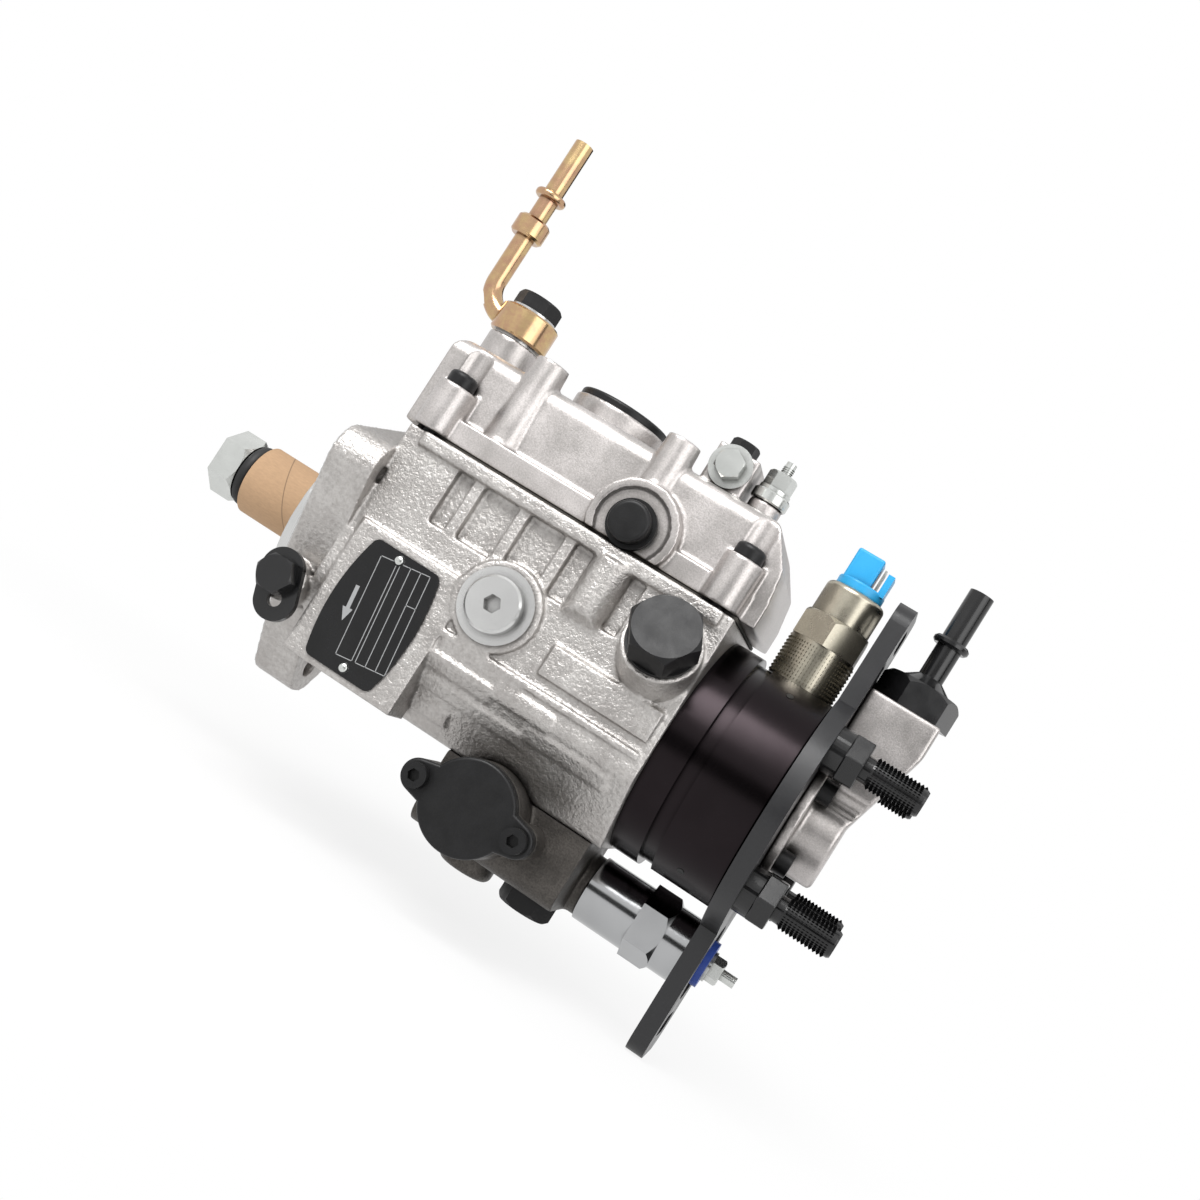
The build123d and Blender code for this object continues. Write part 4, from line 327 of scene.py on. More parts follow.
def turned(name, light, shade, *, roughness, groove_mm, bump_mm, axis="X", patch_mm=14, shade_and_grime=0.7):
    """The name and material of metal turned in a lathe: rings along the axis and out from it."""
    material, tree, shader, place = new_material(name)
    flat = [0.0 if a == axis else 1.0 for a in "XYZ"]
    radial = add_node(tree, "ShaderNodeVectorMath", {"operation": "MULTIPLY"}, {0: place, 1: flat})
    radius = add_node(tree, "ShaderNodeVectorMath", {"operation": "LENGTH"}, {0: radial.outputs[0]})
    parts = add_node(tree, "ShaderNodeSeparateXYZ", inputs={0: place})
    sweep = add_node(tree, "ShaderNodeMath", {"operation": "ADD"}, {
        0: radius.outputs["Value"], 1: parts.outputs[axis]})
    rings = add_node(tree, "ShaderNodeTexNoise", {"noise_dimensions": "1D"}, {
        "W": sweep.outputs[0], "Scale": 1 / (groove_mm * MM), "Detail": 3.0})
    patch = add_node(tree, "ShaderNodeTexNoise", inputs={"Vector": place, "Scale": 1 / (patch_mm * MM)})
    tone = add_node(tree, "ShaderNodeMix", {"data_type": "RGBA"}, {
        0: patch.outputs["Fac"], 6: rgba(shade), 7: rgba(light)})
    gloss = add_node(tree, "ShaderNodeMapRange", inputs={
        "Value": rings.outputs["Fac"], "To Min": roughness - 0.05, "To Max": roughness + 0.08})
    bump = add_node(tree, "ShaderNodeBump", inputs={
        "Height": rings.outputs["Fac"], "Distance": bump_mm * MM, "Strength": 1.0})
    # painted shade in the recesses, tinted as oily dust
    shaded_and_grimy = shaded_and_grimed(tree, tone.outputs[2], reach_mm=3.0, strength=shade_and_grime)
    tree.links.new(shaded_and_grimy, shader.inputs["Base Color"])
    tree.links.new(gloss.outputs["Result"], shader.inputs["Roughness"])
    tree.links.new(bump.outputs["Normal"], shader.inputs["Normal"])
    shader.inputs["Metallic"].default_value = 1.0
    return name, material


def kraft_card(name, light):
    """The name and material of kraft card wound in a spiral: fibres, and a seam that climbs the tube."""
    material, tree, shader, place = new_material(name)
    # the fibres are about three times as long as they are wide, and lie along the tube
    stretch = add_node(tree, "ShaderNodeMapping", inputs={"Vector": place, "Scale": (0.3, 1.0, 1.0)})
    fibre = add_node(tree, "ShaderNodeTexNoise", inputs={
        "Vector": stretch.outputs[0], "Scale": 1 / (0.7 * MM), "Detail": 5.0, "Roughness": 0.7})
    parts = add_node(tree, "ShaderNodeSeparateXYZ", inputs={0: place})
    turn = add_node(tree, "ShaderNodeMath", {"operation": "ARCTAN2"}, {
        0: parts.outputs["Z"], 1: parts.outputs["Y"]})
    # how far a point lies round the tube from the seam, which crosses the top in front of the flange
    climb = add_node(tree, "ShaderNodeMath", {"operation": "MULTIPLY_ADD"}, {
        0: parts.outputs["X"], 1: -2 * pi / STRIP_CLIMB, 2: turn.outputs[0]})
    start = add_node(tree, "ShaderNodeMath", {"operation": "SUBTRACT"}, {
        0: climb.outputs[0], 1: pi / 2 + 2 * pi * STRIP_TOP / STRIP_CLIMB})
    wave = add_node(tree, "ShaderNodeMath", {"operation": "COSINE"}, {0: start.outputs[0]})
    # the wave stands above 0.9988 for about 0.65 mm along the tube
    seam = add_node(tree, "ShaderNodeMapRange", inputs={
        "Value": wave.outputs[0], "From Min": 0.9988, "From Max": 1.0})
    tone = add_node(tree, "ShaderNodeMix", {"data_type": "RGBA"}, {
        0: fibre.outputs["Fac"], 6: rgba(darker(light, 0.62)), 7: rgba(light)})
    lined = add_node(tree, "ShaderNodeMix", {"data_type": "RGBA"}, {
        0: seam.outputs["Result"], 6: tone.outputs[2], 7: rgba(darker(light, 0.4))})
    bump = add_node(tree, "ShaderNodeBump", inputs={
        "Height": fibre.outputs["Fac"], "Distance": 0.08 * MM, "Strength": 1.0})
    tree.links.new(lined.outputs[2], shader.inputs["Base Color"])
    tree.links.new(bump.outputs["Normal"], shader.inputs["Normal"])
    shader.inputs["Roughness"].default_value = 0.85
    return name, material


def make_materials(c):
    """Every finish of the pump by its name, in the colours of `c`."""
    # every finish but the card darkens its recesses with painted shade tinted as oily dust, the two cast
    # aluminium finishes most
    made = (
        # sand cast and shot blasted: satin, with a pebbled skin of about 1.7 mm
        grained("blasted_cast_aluminium", c.cast, c.cast_shade, metallic=0.85, roughness=0.38,
                grain_mm=1.7, bump_mm=0.55, patch_mm=16, shade_and_grime=0.9),
        # die cast and tumbled: smoother, with a faint skin
        grained("die_cast_aluminium", c.cover, c.cast_shade, metallic=0.85, roughness=0.36,
                grain_mm=0.6, bump_mm=0.06, patch_mm=22, shade_and_grime=0.9),
        # faced in a lathe with a fine feed: the cut is too fine to see, so an even bright satin
        grained("machined_aluminium", c.machined, darker(c.machined, 0.9), metallic=0.95, roughness=0.26,
                grain_mm=0.35, bump_mm=0.008, patch_mm=12, swing=0.03),
        # faced and turned on the drive axis: bright rings on the spigot and the mounting face
        turned("turned_aluminium", c.machined, darker(c.machined, 0.85), roughness=0.24,
               groove_mm=0.5, bump_mm=0.01),
        # ground after hardening and oxide blacked: glossy, with fine rings about the drive axis
        turned("heat_treated_head_steel", c.head, darker(c.head, 0.7), roughness=0.22,
               groove_mm=0.3, bump_mm=0.006),
        # phosphated and oiled: nearly black, satin, with a fine crystal grain
        grained("black_phosphated_steel", c.black, darker(c.black, 0.6), metallic=0.0, roughness=0.42,
                grain_mm=0.5, bump_mm=0.04, patch_mm=7, specular=0.3),
        # electrophoretic coating on pressed steel: even, satin, a little orange peel
        grained("black_coated_plate", c.plate, darker(c.plate, 0.8), metallic=0.0, roughness=0.36,
                grain_mm=0.9, bump_mm=0.02, patch_mm=20),
        # anodised aluminium sheet: deeper black and glossier than the phosphated steel
        grained("black_anodised_plate", c.black, darker(c.black, 0.5), metallic=0.3, roughness=0.26,
                grain_mm=0.4, bump_mm=0.004, patch_mm=12, swing=0.03),
        # barrel plated and passivated clear: bright, with a soft even sheen
        grained("bright_zinc_plated_steel", c.zinc, darker(c.zinc, 0.86), metallic=0.95, roughness=0.24,
                grain_mm=0.4, bump_mm=0.006, patch_mm=9, swing=0.04),
        # turned case, zinc plated over the cut: warm grey, with an even satin sheen
        grained("turned_zinc_case", c.solenoid, darker(c.solenoid, 0.78), metallic=1.0, roughness=0.3,
                grain_mm=0.5, bump_mm=0.01, patch_mm=9, swing=0.05),
        # drawn tube, zinc plated and yellow passivated: glossy gold that drifts to rose
        grained("yellow_passivated_steel", c.pipe, c.pipe_tint, metallic=1.0, roughness=0.2,
                grain_mm=5.0, bump_mm=0.004, patch_mm=11, swing=0.05),
        # strips of card glued in a spiral: matt and fibrous, with a dark butt seam
        kraft_card("kraft_card", c.card),
        # injection moulded: smooth, with an even half gloss
        grained("blue_moulded_nylon", c.blue, darker(c.blue, 0.9), metallic=0.0, roughness=0.38,
                grain_mm=0.4, bump_mm=0.01, patch_mm=12),
        # moulded from a darker batch: the same half gloss, a little duller
        grained("royal_blue_nylon", c.royal, darker(c.royal, 0.85), metallic=0.0, roughness=0.4,
                grain_mm=0.4, bump_mm=0.01, patch_mm=9),
        # plated, then blacked and waxed: deep black with a clear gloss
        grained("black_plated_steel", c.black, darker(c.black, 0.7), metallic=0.0, roughness=0.2,
                grain_mm=0.4, bump_mm=0.006, patch_mm=9, swing=0.05),
        # sand cast and left as cast: dark grey, with a rough dull skin
        grained("bare_cast_iron", c.iron, darker(c.iron, 0.5), metallic=0.7, roughness=0.45,
                grain_mm=0.8, bump_mm=0.2, patch_mm=9),
        # hardened and ground on centres: bright, with very fine rings
        turned("ground_steel", c.steel, darker(c.steel, 0.8), roughness=0.25,
               groove_mm=0.25, bump_mm=0.006),
        # ground and bright plated tube: mirror-like along its length
        turned("polished_zinc_cylinder", c.steel, darker(c.steel, 0.8), roughness=0.14,
               groove_mm=0.4, bump_mm=0.003),
        # pressed from powder and soaked in oil: dull gold brown, finely speckled
        grained("sintered_bronze", c.bronze, darker(c.bronze, 0.7), metallic=1.0, roughness=0.45,
                grain_mm=0.3, bump_mm=0.02, patch_mm=5),
        # moulded rubber: matt black that drinks the light
        grained("nitrile_rubber", c.rubber, darker(c.rubber, 0.7), metallic=0.0, roughness=0.6,
                grain_mm=0.4, bump_mm=0.02, patch_mm=6),
        # punched from rolled fibre sheet: flat grey brown, with a short fibre grain
        grained("fibre_gasket", c.sheet, darker(c.sheet, 0.7), metallic=0.0, roughness=0.85,
                grain_mm=0.5, bump_mm=0.03, patch_mm=5),
        # lines left bare when the plate was dyed: pale aluminium, flat on the black
        grained("plate_print", c.print, c.steel, metallic=0.8, roughness=0.35,
                grain_mm=0.3, bump_mm=0.0, patch_mm=5),
    )
    # by their given names, since Blender renames a material whose name the frame has taken
    return dict(made)


# the nodes that wear each finish
FINISHES = {
    "blasted_cast_aluminium": ("pump_housing",),
    "die_cast_aluminium": ("control_cover", "end_plate"),
    "machined_aluminium": ("inspection_plug", "banjo_seals"),
    "heat_treated_head_steel": ("hydraulic_head",),
    "black_phosphated_steel": ("cover_screws", "crown_cap", "side_plug", "stop_screw", "banjo_bolt",
                               "head_locating_fitting", "end_plate_screws", "advance_covers",
                               "advance_cover_screws", "advance_bolt", "throttle_lever"),
    "black_plated_steel": ("lock_spacer", "lock_screw", "outlet_connectors", "inlet_connector"),
    "black_coated_plate": ("rear_plate",),
    "black_anodised_plate": ("name_plate",),
    "bright_zinc_plated_steel": ("vent_screw", "adjuster", "cold_advance_terminal", "shaft_nut",
                                 "solenoid_terminal"),
    "turned_zinc_case": ("solenoid_body",),
    "yellow_passivated_steel": ("return_pipe",),
    "kraft_card": ("transit_tube",),
    "blue_moulded_nylon": ("solenoid_cap",),
    "royal_blue_nylon": ("cold_advance_insulator",),
    "bare_cast_iron": ("advance_housing",),
    "ground_steel": ("solenoid_plunger", "regulating_piston", "pump_liner", "transfer_rotor",
                     "advance_piston", "return_springs", "drive_shaft", "shaft_key", "weight_carrier",
                     "thrust_sleeve", "distributor_rotor", "pumping_elements", "cam_ring",
                     "governor_arm", "metering_valve", "throttle_shaft", "flyweight_1",
                     "flyweight_2", "flyweight_3", "flyweight_4"),
    "polished_zinc_cylinder": ("cold_advance_body",),
    "sintered_bronze": ("shaft_bush",),
    "nitrile_rubber": ("head_oring", "shaft_oring", "shaft_seal"),
    "fibre_gasket": ("gaskets",),
}


# ================================================================ shapes
def new_object(bm, name, material):
    """An object at the origin that takes over a bmesh."""
    mesh = bpy.data.meshes.new(name)
    bm.to_mesh(mesh)
    bm.free()
    mesh.materials.append(material)
    made = bpy.data.objects.new(name, mesh)
    bpy.context.scene.collection.objects.link(made)
    return made


def finish_piece(bm, name, material, body):
    """Turns a bmesh into a finished piece that rides on a body."""
    bmesh.ops.remove_doubles(bm, verts=bm.verts, dist=POINT_WELD)
    bmesh.ops.recalc_face_normals(bm, faces=bm.faces)
    piece = new_object(bm, name, bpy.data.materials[material])
    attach(piece, body)
    return piece


def add_slab(bm, corners, depth):
    """A thin plate from flat corners, given its thickness along `depth`."""
    face = bm.faces.new([bm.verts.new(p) for p in corners])
    grown = bmesh.ops.extrude_face_region(bm, geom=[face])
    moved = [e for e in grown["geom"] if isinstance(e, bmesh.types.BMVert)]
    bmesh.ops.translate(bm, verts=moved, vec=depth)


def turned_body(bm, place, outline, segments=48):
    """A turned piece about +X: outline of (along, radius) from `place`, ending on its start."""
    verts = [bm.verts.new(place + Vector((along, 0, radius))) for along, radius in outline]
    edges = [bm.edges.new(pair) for pair in zip(verts, verts[1:] + verts[:1])]
    bmesh.ops.spin(bm, geom=verts + edges, cent=place, axis=(1, 0, 0), angle=2 * pi,
                   steps=segments, use_merge=True, use_duplicate=False)


def add_prism(bm, turn, sides, radius, depth, bevel):
    """A closed prism about the Z of `turn`, with its sharp edges eased by `bevel`."""
    made = bmesh.ops.create_cone(bm, cap_ends=True, segments=sides, radius1=radius, radius2=radius,
                                 depth=depth, matrix=turn)
    edges = {e for v in made["verts"] for e in v.link_edges if e.calc_face_angle(0.0) > SHARP_ANGLE}
    bmesh.ops.bevel(bm, geom=list(edges), offset=bevel, offset_type="OFFSET", affect="EDGES", segments=2,
                    profile=0.5, material=-1, clamp_overlap=True)


def add_thread(bm, place, crest_r, depth, pitch, span, steps, upright=False):
    """A helical ridge along +X, or +Z when upright, closed at both ends and sunk into its core."""
    foot = -depth * (1 + THREAD_SINK)
    half = pitch / 2
    flat = half * CREST_FLAT
    turns = int(span / pitch) - 1
    outline = ((-half, foot), (-half, -depth), (-flat, 0), (flat, 0), (half, -depth), (half, foot))
    swing = Matrix.Rotation(-pi / 2 if upright else 0, 4, "Y")
    along = swing @ Vector((1, 0, 0))
    verts = [bm.verts.new(place + swing @ Vector((half + x, 0, crest_r + r))) for x, r in outline]
    face = bm.faces.new(verts)
    bmesh.ops.spin(bm, geom=[face], cent=place, axis=along, angle=2 * pi * turns,
                   steps=turns * steps, dvec=along * pitch / steps, use_duplicate=True)


def soften(piece, voxel, rounds, most_triangles):
    """Runs every sharp edge and corner of a casting into a small radius."""
    grid = piece.modifiers.new("grid", "REMESH")
    grid.mode = "VOXEL"
    grid.voxel_size = voxel
    grid.use_smooth_shade = True
    smooth = piece.modifiers.new("smooth", "SMOOTH")
    smooth.factor = SMOOTH_PULL
    smooth.iterations = rounds
    apply_modifiers(piece)
    count = sum(len(polygon.vertices) - 2 for polygon in piece.data.polygons)
    if count > most_triangles:
        thin = piece.modifiers.new("thin", "DECIMATE")
        thin.ratio = most_triangles / count
        apply_modifiers(piece)


def apply_modifiers(piece):
    """Puts what the modifiers make into the piece's own mesh."""
    graph = bpy.context.evaluated_depsgraph_get()
    made = bpy.data.meshes.new_from_object(piece.evaluated_get(graph), depsgraph=graph)
    piece.modifiers.clear()
    old = piece.data
    piece.data = made
    bpy.data.meshes.remove(old)


def machine_front(piece, depth):
    """Gives the flange's mounting face and the spigot in front of it a turned finish."""
    piece.data.materials.append(bpy.data.materials["turned_aluminium"])
    for polygon in piece.data.polygons:
        if polygon.center.x < depth:
            polygon.material_index = 1


def copy_of_node(node):
    """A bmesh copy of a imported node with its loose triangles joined."""
    bm = bmesh.new()
    bm.from_mesh(frame["nodes"][node].data)
    bmesh.ops.remove_doubles(bm, verts=bm.verts, dist=MESH_WELD)
    return bm


def face_plane_y(node):
    """Y of the largest face of a node that looks along -Y."""
    areas = {}
    for polygon in frame["nodes"][node].data.polygons:
        if polygon.normal.y < LOOKS_OUT:
            y = round(polygon.center.y, PLANE_DIGITS)
            areas[y] = areas.get(y, 0.0) + polygon.area
    return max(areas, key=areas.get)


# ================================================================ operators
class PUMP_OT_finishes(bpy.types.Operator):
    """Gives every solid of the pump its finish"""
    bl_idname = "pump.finishes"
    bl_label = "Finishes"

    def execute(self, context):
        made = make_materials(context.scene.pump_colours)
        for finish, names in FINISHES.items():
            for name in names:
                data = frame["nodes"][name].data
                data.materials.clear()
                data.materials.append(made[finish])
        return {"FINISHED"}


class PUMP_OT_castings(bpy.types.Operator):
    """Gives the castings their small radii along every edge and corner"""
    bl_idname = "pump.castings"
    bl_label = "Castings"

    def execute(self, context):
        sizes = context.scene.pump_sizes
        for node, (name, finish, slot) in CASTINGS.items():
            piece = finish_piece(copy_of_node(node), name, finish, "root")
            soften(piece, sizes.cast_voxel, sizes.cast_rounds, sizes.cast_triangles)
            if node == "pump_housing":
                machine_front(piece, sizes.faced_depth)
            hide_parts(node)
        return {"FINISHED"}


class PUMP_OT_outlets(bpy.types.Operator):
    """Models the four delivery connectors with their cut threads"""
    bl_idname = "pump.outlets"
    bl_label = "Delivery connectors"

    def execute(self, context):
        sizes = context.scene.pump_sizes
        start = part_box("rear_plate")[1].x
        inner, end = (corner.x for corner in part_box("outlet_connectors"))
        # places along the connector, from the plate's face
        foot, mouth = inner - start, end - start
        hex_at = sizes.collar_thick
        thread_at = hex_at + sizes.outlet_hex_thick + sizes.neck_length
        bm = bmesh.new()
        for number in range(1, OUTLETS + 1):
            mount = MOUNTS[f"outlet_{number}"]
            place = Vector((start, mount["pos_m"][1], mount["pos_m"][2]))
            crest = mount["dims"]["r_mm"] * MM
            root = crest - sizes.thread_depth
            turned_body(bm, place, (
                (foot, sizes.drilling_r), (foot, sizes.shank_r), (0, sizes.shank_r), (0, sizes.collar_r),
                (hex_at, sizes.collar_r), (hex_at, sizes.neck_r), (thread_at, sizes.neck_r),
                (thread_at + sizes.thread_depth, root), (mouth - sizes.thread_depth, root),
                (mouth, root - sizes.thread_depth * MOUTH_CHAMFER), (mouth, sizes.outlet_bore_r),
                (mouth - sizes.seat_depth, sizes.drilling_r)))
            middle = place + Vector((hex_at + sizes.outlet_hex_thick / 2, 0, 0))
            turn = Matrix.Translation(middle) @ Matrix.Rotation(pi / 2, 4, "Y")
            add_prism(bm, turn, sides=6, radius=sizes.outlet_hex / 2 / cos(pi / 6),
                      depth=sizes.outlet_hex_thick, bevel=sizes.hex_bevel)
            add_thread(bm, place + Vector((thread_at, 0, 0)), crest, sizes.thread_depth,
                       sizes.thread_pitch, mouth - thread_at - sizes.thread_depth, sizes.thread_steps)
        piece = finish_piece(bm, "threaded_outlets", "black_plated_steel", "root")
        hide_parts("outlet_connectors")
        return {"FINISHED"}


class PUMP_OT_upright_threads(bpy.types.Operator):
    """Cuts the threads of the solenoid's case and of the adjuster's stud"""
    bl_idname = "pump.upright_threads"
    bl_label = "Upright threads"

    def execute(self, context):
        sizes = context.scene.pump_sizes
        low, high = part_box("solenoid_body")
        axis = Vector(((low.x + high.x) / 2, (low.y + high.y) / 2, sizes.case_thread_z))
        # twice the steps of an outlet's thread, because the case is about twice as wide
        steps = sizes.thread_steps * 2
        bm = bmesh.new()
        add_thread(bm, axis, sizes.case_thread_r, sizes.case_thread_depth, sizes.thread_pitch,
                   sizes.case_thread_length, steps, upright=True)
        finish_piece(bm, "solenoid_thread", "turned_zinc_case", "root")
        low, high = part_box("adjuster")
        foot = Vector(((low.x + high.x) / 2, (low.y + high.y) / 2, high.z - sizes.stud_thread_length))
        bm = bmesh.new()
        add_thread(bm, foot, sizes.stud_thread_r, sizes.stud_thread_depth, sizes.stud_pitch,
                   sizes.stud_thread_length - sizes.stud_slot, sizes.thread_steps, upright=True)
        finish_piece(bm, "stud_thread", "bright_zinc_plated_steel", "root")
        return {"FINISHED"}


class PUMP_OT_head_plugs(bpy.types.Operator):
    """Seats the two blind plugs of the head's cross drillings in its rim"""
    bl_idname = "pump.head_plugs"
    bl_label = "Head plugs"

    def execute(self, context):
        sizes = context.scene.pump_sizes
        low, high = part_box("hydraulic_head")
        rim = (high.y - low.y) / 2
        bm = bmesh.new()
        for lift in (sizes.head_plug_angle, -sizes.head_plug_angle):
            seat = Vector((sizes.head_plug_x, -rim * cos(lift), rim * sin(lift)))
            turn = Matrix.Translation(seat) @ Matrix.Rotation(pi / 2 - lift, 4, "X")
            # half of each plug is sunk in the rim
            add_prism(bm, turn, sides=32, radius=sizes.head_plug_r, depth=sizes.head_plug_height * 2,
                      bevel=sizes.head_plug_height / 2)
        finish_piece(bm, "head_plugs", "black_phosphated_steel", "root")
        return {"FINISHED"}


class PUMP_OT_rivet_heads(bpy.types.Operator):
    """Domes the two drive rivets of the name plate"""
    bl_idname = "pump.rivet_heads"
    bl_label = "Rivet heads"

    def execute(self, context):
        sizes = context.scene.pump_sizes
        face_y = face_plane_y("name_plate")
        bm = bmesh.new()
        for x, height in RIVETS:
            place = Matrix.Translation((x, face_y, height)) @ Matrix.Diagonal(
                (sizes.rivet_r, sizes.rivet_height, sizes.rivet_r, 1.0))
            bmesh.ops.create_uvsphere(bm, u_segments=32, v_segments=16, radius=1.0,
                                      matrix=place @ Matrix.Rotation(pi / 2, 4, "X"))
        finish_piece(bm, "rivet_heads", "bright_zinc_plated_steel", "root")
        return {"FINISHED"}


class PUMP_OT_plate_print(bpy.types.Operator):
    """Prints the two empty frames and the arrow of rotation on the name plate"""
    bl_idname = "pump.plate_print"
    bl_label = "Plate print"

    def execute(self, context):
        sizes = context.scene.pump_sizes
        face_y = face_plane_y("name_plate")
        lean = Matrix.Rotation(sizes.print_lean, 4, "Y")
        top = Vector((sizes.print_x, face_y, sizes.print_top))
        rise = (0, -sizes.print_height, 0)
        bm = bmesh.new()

        def bar(x0, x1, low, high):
            corners = [(x0, low), (x1, low), (x1, high), (x0, high)]
            add_slab(bm, [top + lean @ Vector((x, 0, h)) for x, h in corners], rise)

        def box_of_lines(x0, x1, low, high):
            bar(x0, x0 + sizes.print_line, low, high)
            bar(x1 - sizes.print_line, x1, low, high)
            bar(x0, x1, high - sizes.print_line, high)
            bar(x0, x1, low, low + sizes.print_line)

        left, gap, right, tall = sizes.blank_width, sizes.print_gap, sizes.grid_width, sizes.grid_height
        box_of_lines(0, left, -tall, 0)
        grid_x = left + gap
        box_of_lines(grid_x, grid_x + right, -tall, 0)
        # two rulings cut the second frame into three columns, and a short one closes a box in the last
        for share in (1 / 3, 2 / 3):
            bar(grid_x + right * share, grid_x + right * share + sizes.print_line, -tall, 0)
        bar(grid_x + right * 2 / 3, grid_x + right, -tall / 3, sizes.print_line - tall / 3)
        # arrow of rotation, left of the frames
        w, shaft, head = sizes.arrow_width, sizes.arrow_shaft, sizes.arrow_head
        half = sizes.arrow_shaft_width / 2
        outline = [(-half, shaft + head), (-half, head), (-w / 2, head), (0, 0), (w / 2, head),
                   (half, head), (half, shaft + head)]
        tip = Vector((sizes.arrow_x, face_y, sizes.arrow_z))
        add_slab(bm, [tip + lean @ Vector((x, 0, h)) for x, h in outline], rise)
        finish_piece(bm, "plate_print", "plate_print", "root")
        return {"FINISHED"}


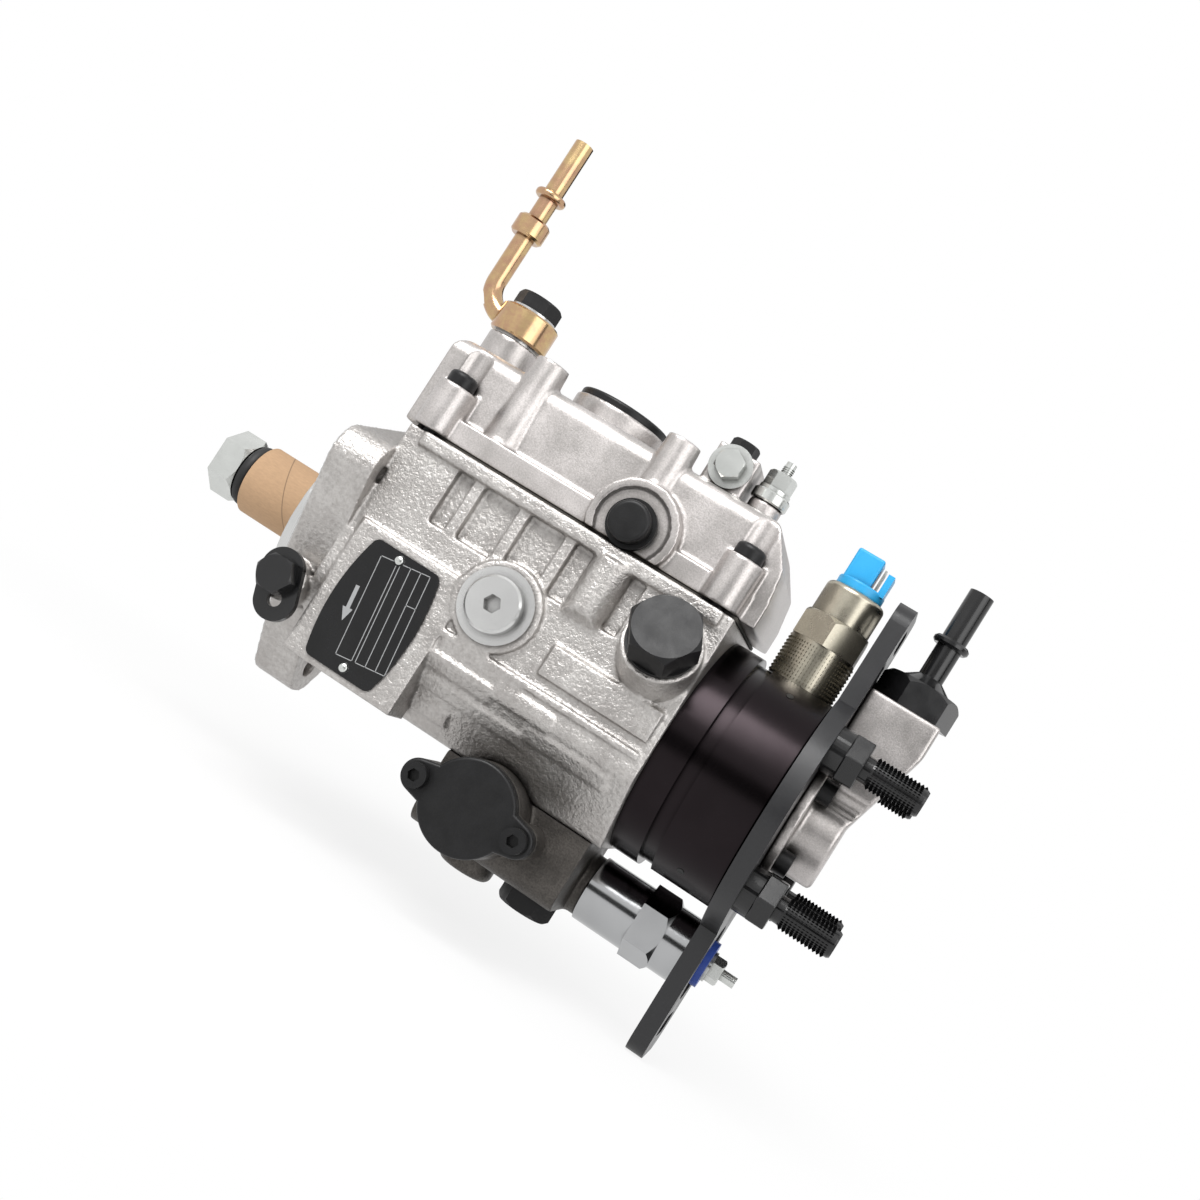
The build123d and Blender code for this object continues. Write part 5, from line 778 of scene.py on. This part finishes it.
class PUMP_OT_stage(bpy.types.Operator):
    """Sets the floor, the soft light, the dark cards and the camera"""
    bl_idname = "pump.stage"
    bl_label = "Stage"

    def execute(self, context):
        scene = context.scene
        stage = scene.pump_stage
        self.floor(stage)
        self.world(scene, stage)
        self.lamps(scene, stage)
        self.cards()
        self.camera(scene, stage)
        scene.view_settings.view_transform = "Standard"
        return {"FINISHED"}

    def camera(self, scene, stage):
        """The camera at its place, turned by yaw, pitch and roll."""
        data = bpy.data.cameras.new("camera")
        data.lens = stage.lens
        data.sensor_width = 36.0
        data.clip_start = 0.01
        camera = bpy.data.objects.new("camera", data)
        scene.collection.objects.link(camera)
        turn = (Matrix.Rotation(stage.yaw, 4, "Z") @ Matrix.Rotation(stage.pitch, 4, "X")
                @ Matrix.Rotation(stage.roll, 4, "Y") @ Matrix.Rotation(pi / 2, 4, "X"))
        camera.matrix_world = Matrix.Translation((stage.camera_x, stage.camera_y, stage.camera_z)) @ turn
        scene.camera = camera

    def floor(self, stage):
        """A pale floor that keeps the shadow near the pump and is pure white farther out."""
        material, tree, shader, place = new_material("pale_floor")
        shader.inputs["Base Color"].default_value = linear("#F4F4F4")
        shader.inputs["Roughness"].default_value = 0.9
        away = add_node(tree, "ShaderNodeVectorMath", {"operation": "LENGTH"}, {0: place})
        fade = add_node(tree, "ShaderNodeMapRange", {"interpolation_type": "SMOOTHSTEP"}, {
            "Value": away.outputs["Value"], "From Min": stage.shadow_r, "From Max": stage.white_r,
            "To Min": stage.floor_glow, "To Max": 1.0})
        share = add_node(tree, "ShaderNodeMath", {"operation": "MULTIPLY"}, {
            0: seen_by(tree, "Is Camera Ray", "Is Glossy Ray"), 1: fade.outputs["Result"]})
        glow = add_node(tree, "ShaderNodeEmission", inputs={"Color": (1, 1, 1, 1), "Strength": 1.0})
        mixed = add_node(tree, "ShaderNodeMixShader", inputs={
            0: share.outputs[0], 1: shader.outputs[0], 2: glow.outputs[0]})
        tree.links.new(mixed.outputs[0], tree.nodes["Material Output"].inputs["Surface"])
        bm = bmesh.new()
        bmesh.ops.create_grid(bm, x_segments=1, y_segments=1, size=stage.floor_half)
        bmesh.ops.translate(bm, verts=bm.verts, vec=(0, 0, CAD_BOX[0][2] - stage.floor_gap))
        floor = new_object(bm, "floor", material)

    def world(self, scene, stage):
        """White where the camera or gloss sees it, and a softer light on the pump."""
        world = bpy.data.worlds.new("studio")
        world.use_nodes = True
        tree = world.node_tree
        seen = seen_by(tree, "Is Camera Ray", "Is Glossy Ray", "Is Transmission Ray")
        level = add_node(tree, "ShaderNodeMapRange", inputs={
            "Value": seen, "To Min": stage.sky, "To Max": 1.0})
        back = tree.nodes["Background"]
        back.inputs["Color"].default_value = (1, 1, 1, 1)
        tree.links.new(level.outputs["Result"], back.inputs["Strength"])
        scene.world = world

    def lamps(self, scene, stage):
        """Two large soft lamps."""
        for name, power in (("key", stage.key), ("fill", stage.fill)):
            place, size = LAMPS[name]
            data = bpy.data.lights.new(name, "AREA")
            data.energy = power
            data.size = size
            lamp = bpy.data.objects.new(name, data)
            scene.collection.objects.link(lamp)
            lamp.location = place
            aim = Vector(LAMP_AIM) - Vector(place)
            lamp.rotation_euler = aim.to_track_quat("-Z", "Y").to_euler()

    def cards(self):
        """Dark cards that the camera does not see, which give the metal its dark reflections."""
        material, tree, shader, place = new_material("dark_card")
        weave = add_node(tree, "ShaderNodeTexNoise", inputs={"Vector": place, "Scale": 1 / (3 * MM)})
        tone = add_node(tree, "ShaderNodeMix", {"data_type": "RGBA"}, {
            0: weave.outputs["Fac"], 6: linear("#161616"), 7: linear("#242424")})
        tree.links.new(tone.outputs[2], shader.inputs["Base Color"])
        shader.inputs["Roughness"].default_value = 1.0
        for number, (centre, turn, (width, height)) in enumerate(CARDS):
            bm = bmesh.new()
            # a square of one metre, cut to the card's size and stood upright
            bmesh.ops.create_grid(bm, x_segments=1, y_segments=1, size=0.5)
            bmesh.ops.scale(bm, verts=bm.verts, vec=(width, height, 1))
            bmesh.ops.transform(bm, verts=bm.verts, matrix=Matrix.Translation(centre)
                                @ Matrix.Rotation(turn, 4, "Z") @ Matrix.Rotation(pi / 2, 4, "X"))
            card = new_object(bm, f"dark_card_{number}", material)
            card.visible_camera = False


class PUMP_PT_panel(bpy.types.Panel):
    """Sidebar panel of the pump's operators"""
    bl_label = "Injection Pump"
    bl_idname = "PUMP_PT_panel"
    bl_space_type = "VIEW_3D"
    bl_region_type = "UI"
    bl_category = "Pump"

    def draw(self, context):
        for operator in OPERATORS:
            self.layout.operator(operator.bl_idname)


OPERATORS = (PUMP_OT_finishes, PUMP_OT_castings, PUMP_OT_outlets, PUMP_OT_upright_threads,
             PUMP_OT_head_plugs, PUMP_OT_rivet_heads, PUMP_OT_plate_print, PUMP_OT_stage)
CLASSES = (PumpSizes, PumpColours, PumpStage, *OPERATORS, PUMP_PT_panel)


def register():
    """Registers the settings, the operators and the panel."""
    for item in CLASSES:
        bpy.utils.register_class(item)
    bpy.types.Scene.pump_sizes = PointerProperty(type=PumpSizes)
    bpy.types.Scene.pump_colours = PointerProperty(type=PumpColours)
    bpy.types.Scene.pump_stage = PointerProperty(type=PumpStage)


def unregister():
    """Takes them away again."""
    del bpy.types.Scene.pump_sizes
    del bpy.types.Scene.pump_colours
    del bpy.types.Scene.pump_stage
    for item in reversed(CLASSES):
        bpy.utils.unregister_class(item)


def main():
    """Dresses the pump and sets the stage."""
    register()
    bpy.ops.pump.finishes()
    bpy.ops.pump.castings()
    bpy.ops.pump.outlets()
    bpy.ops.pump.upright_threads()
    bpy.ops.pump.head_plugs()
    bpy.ops.pump.rivet_heads()
    bpy.ops.pump.plate_print()
    bpy.ops.pump.stage()


if __name__ == "__main__":
    main()
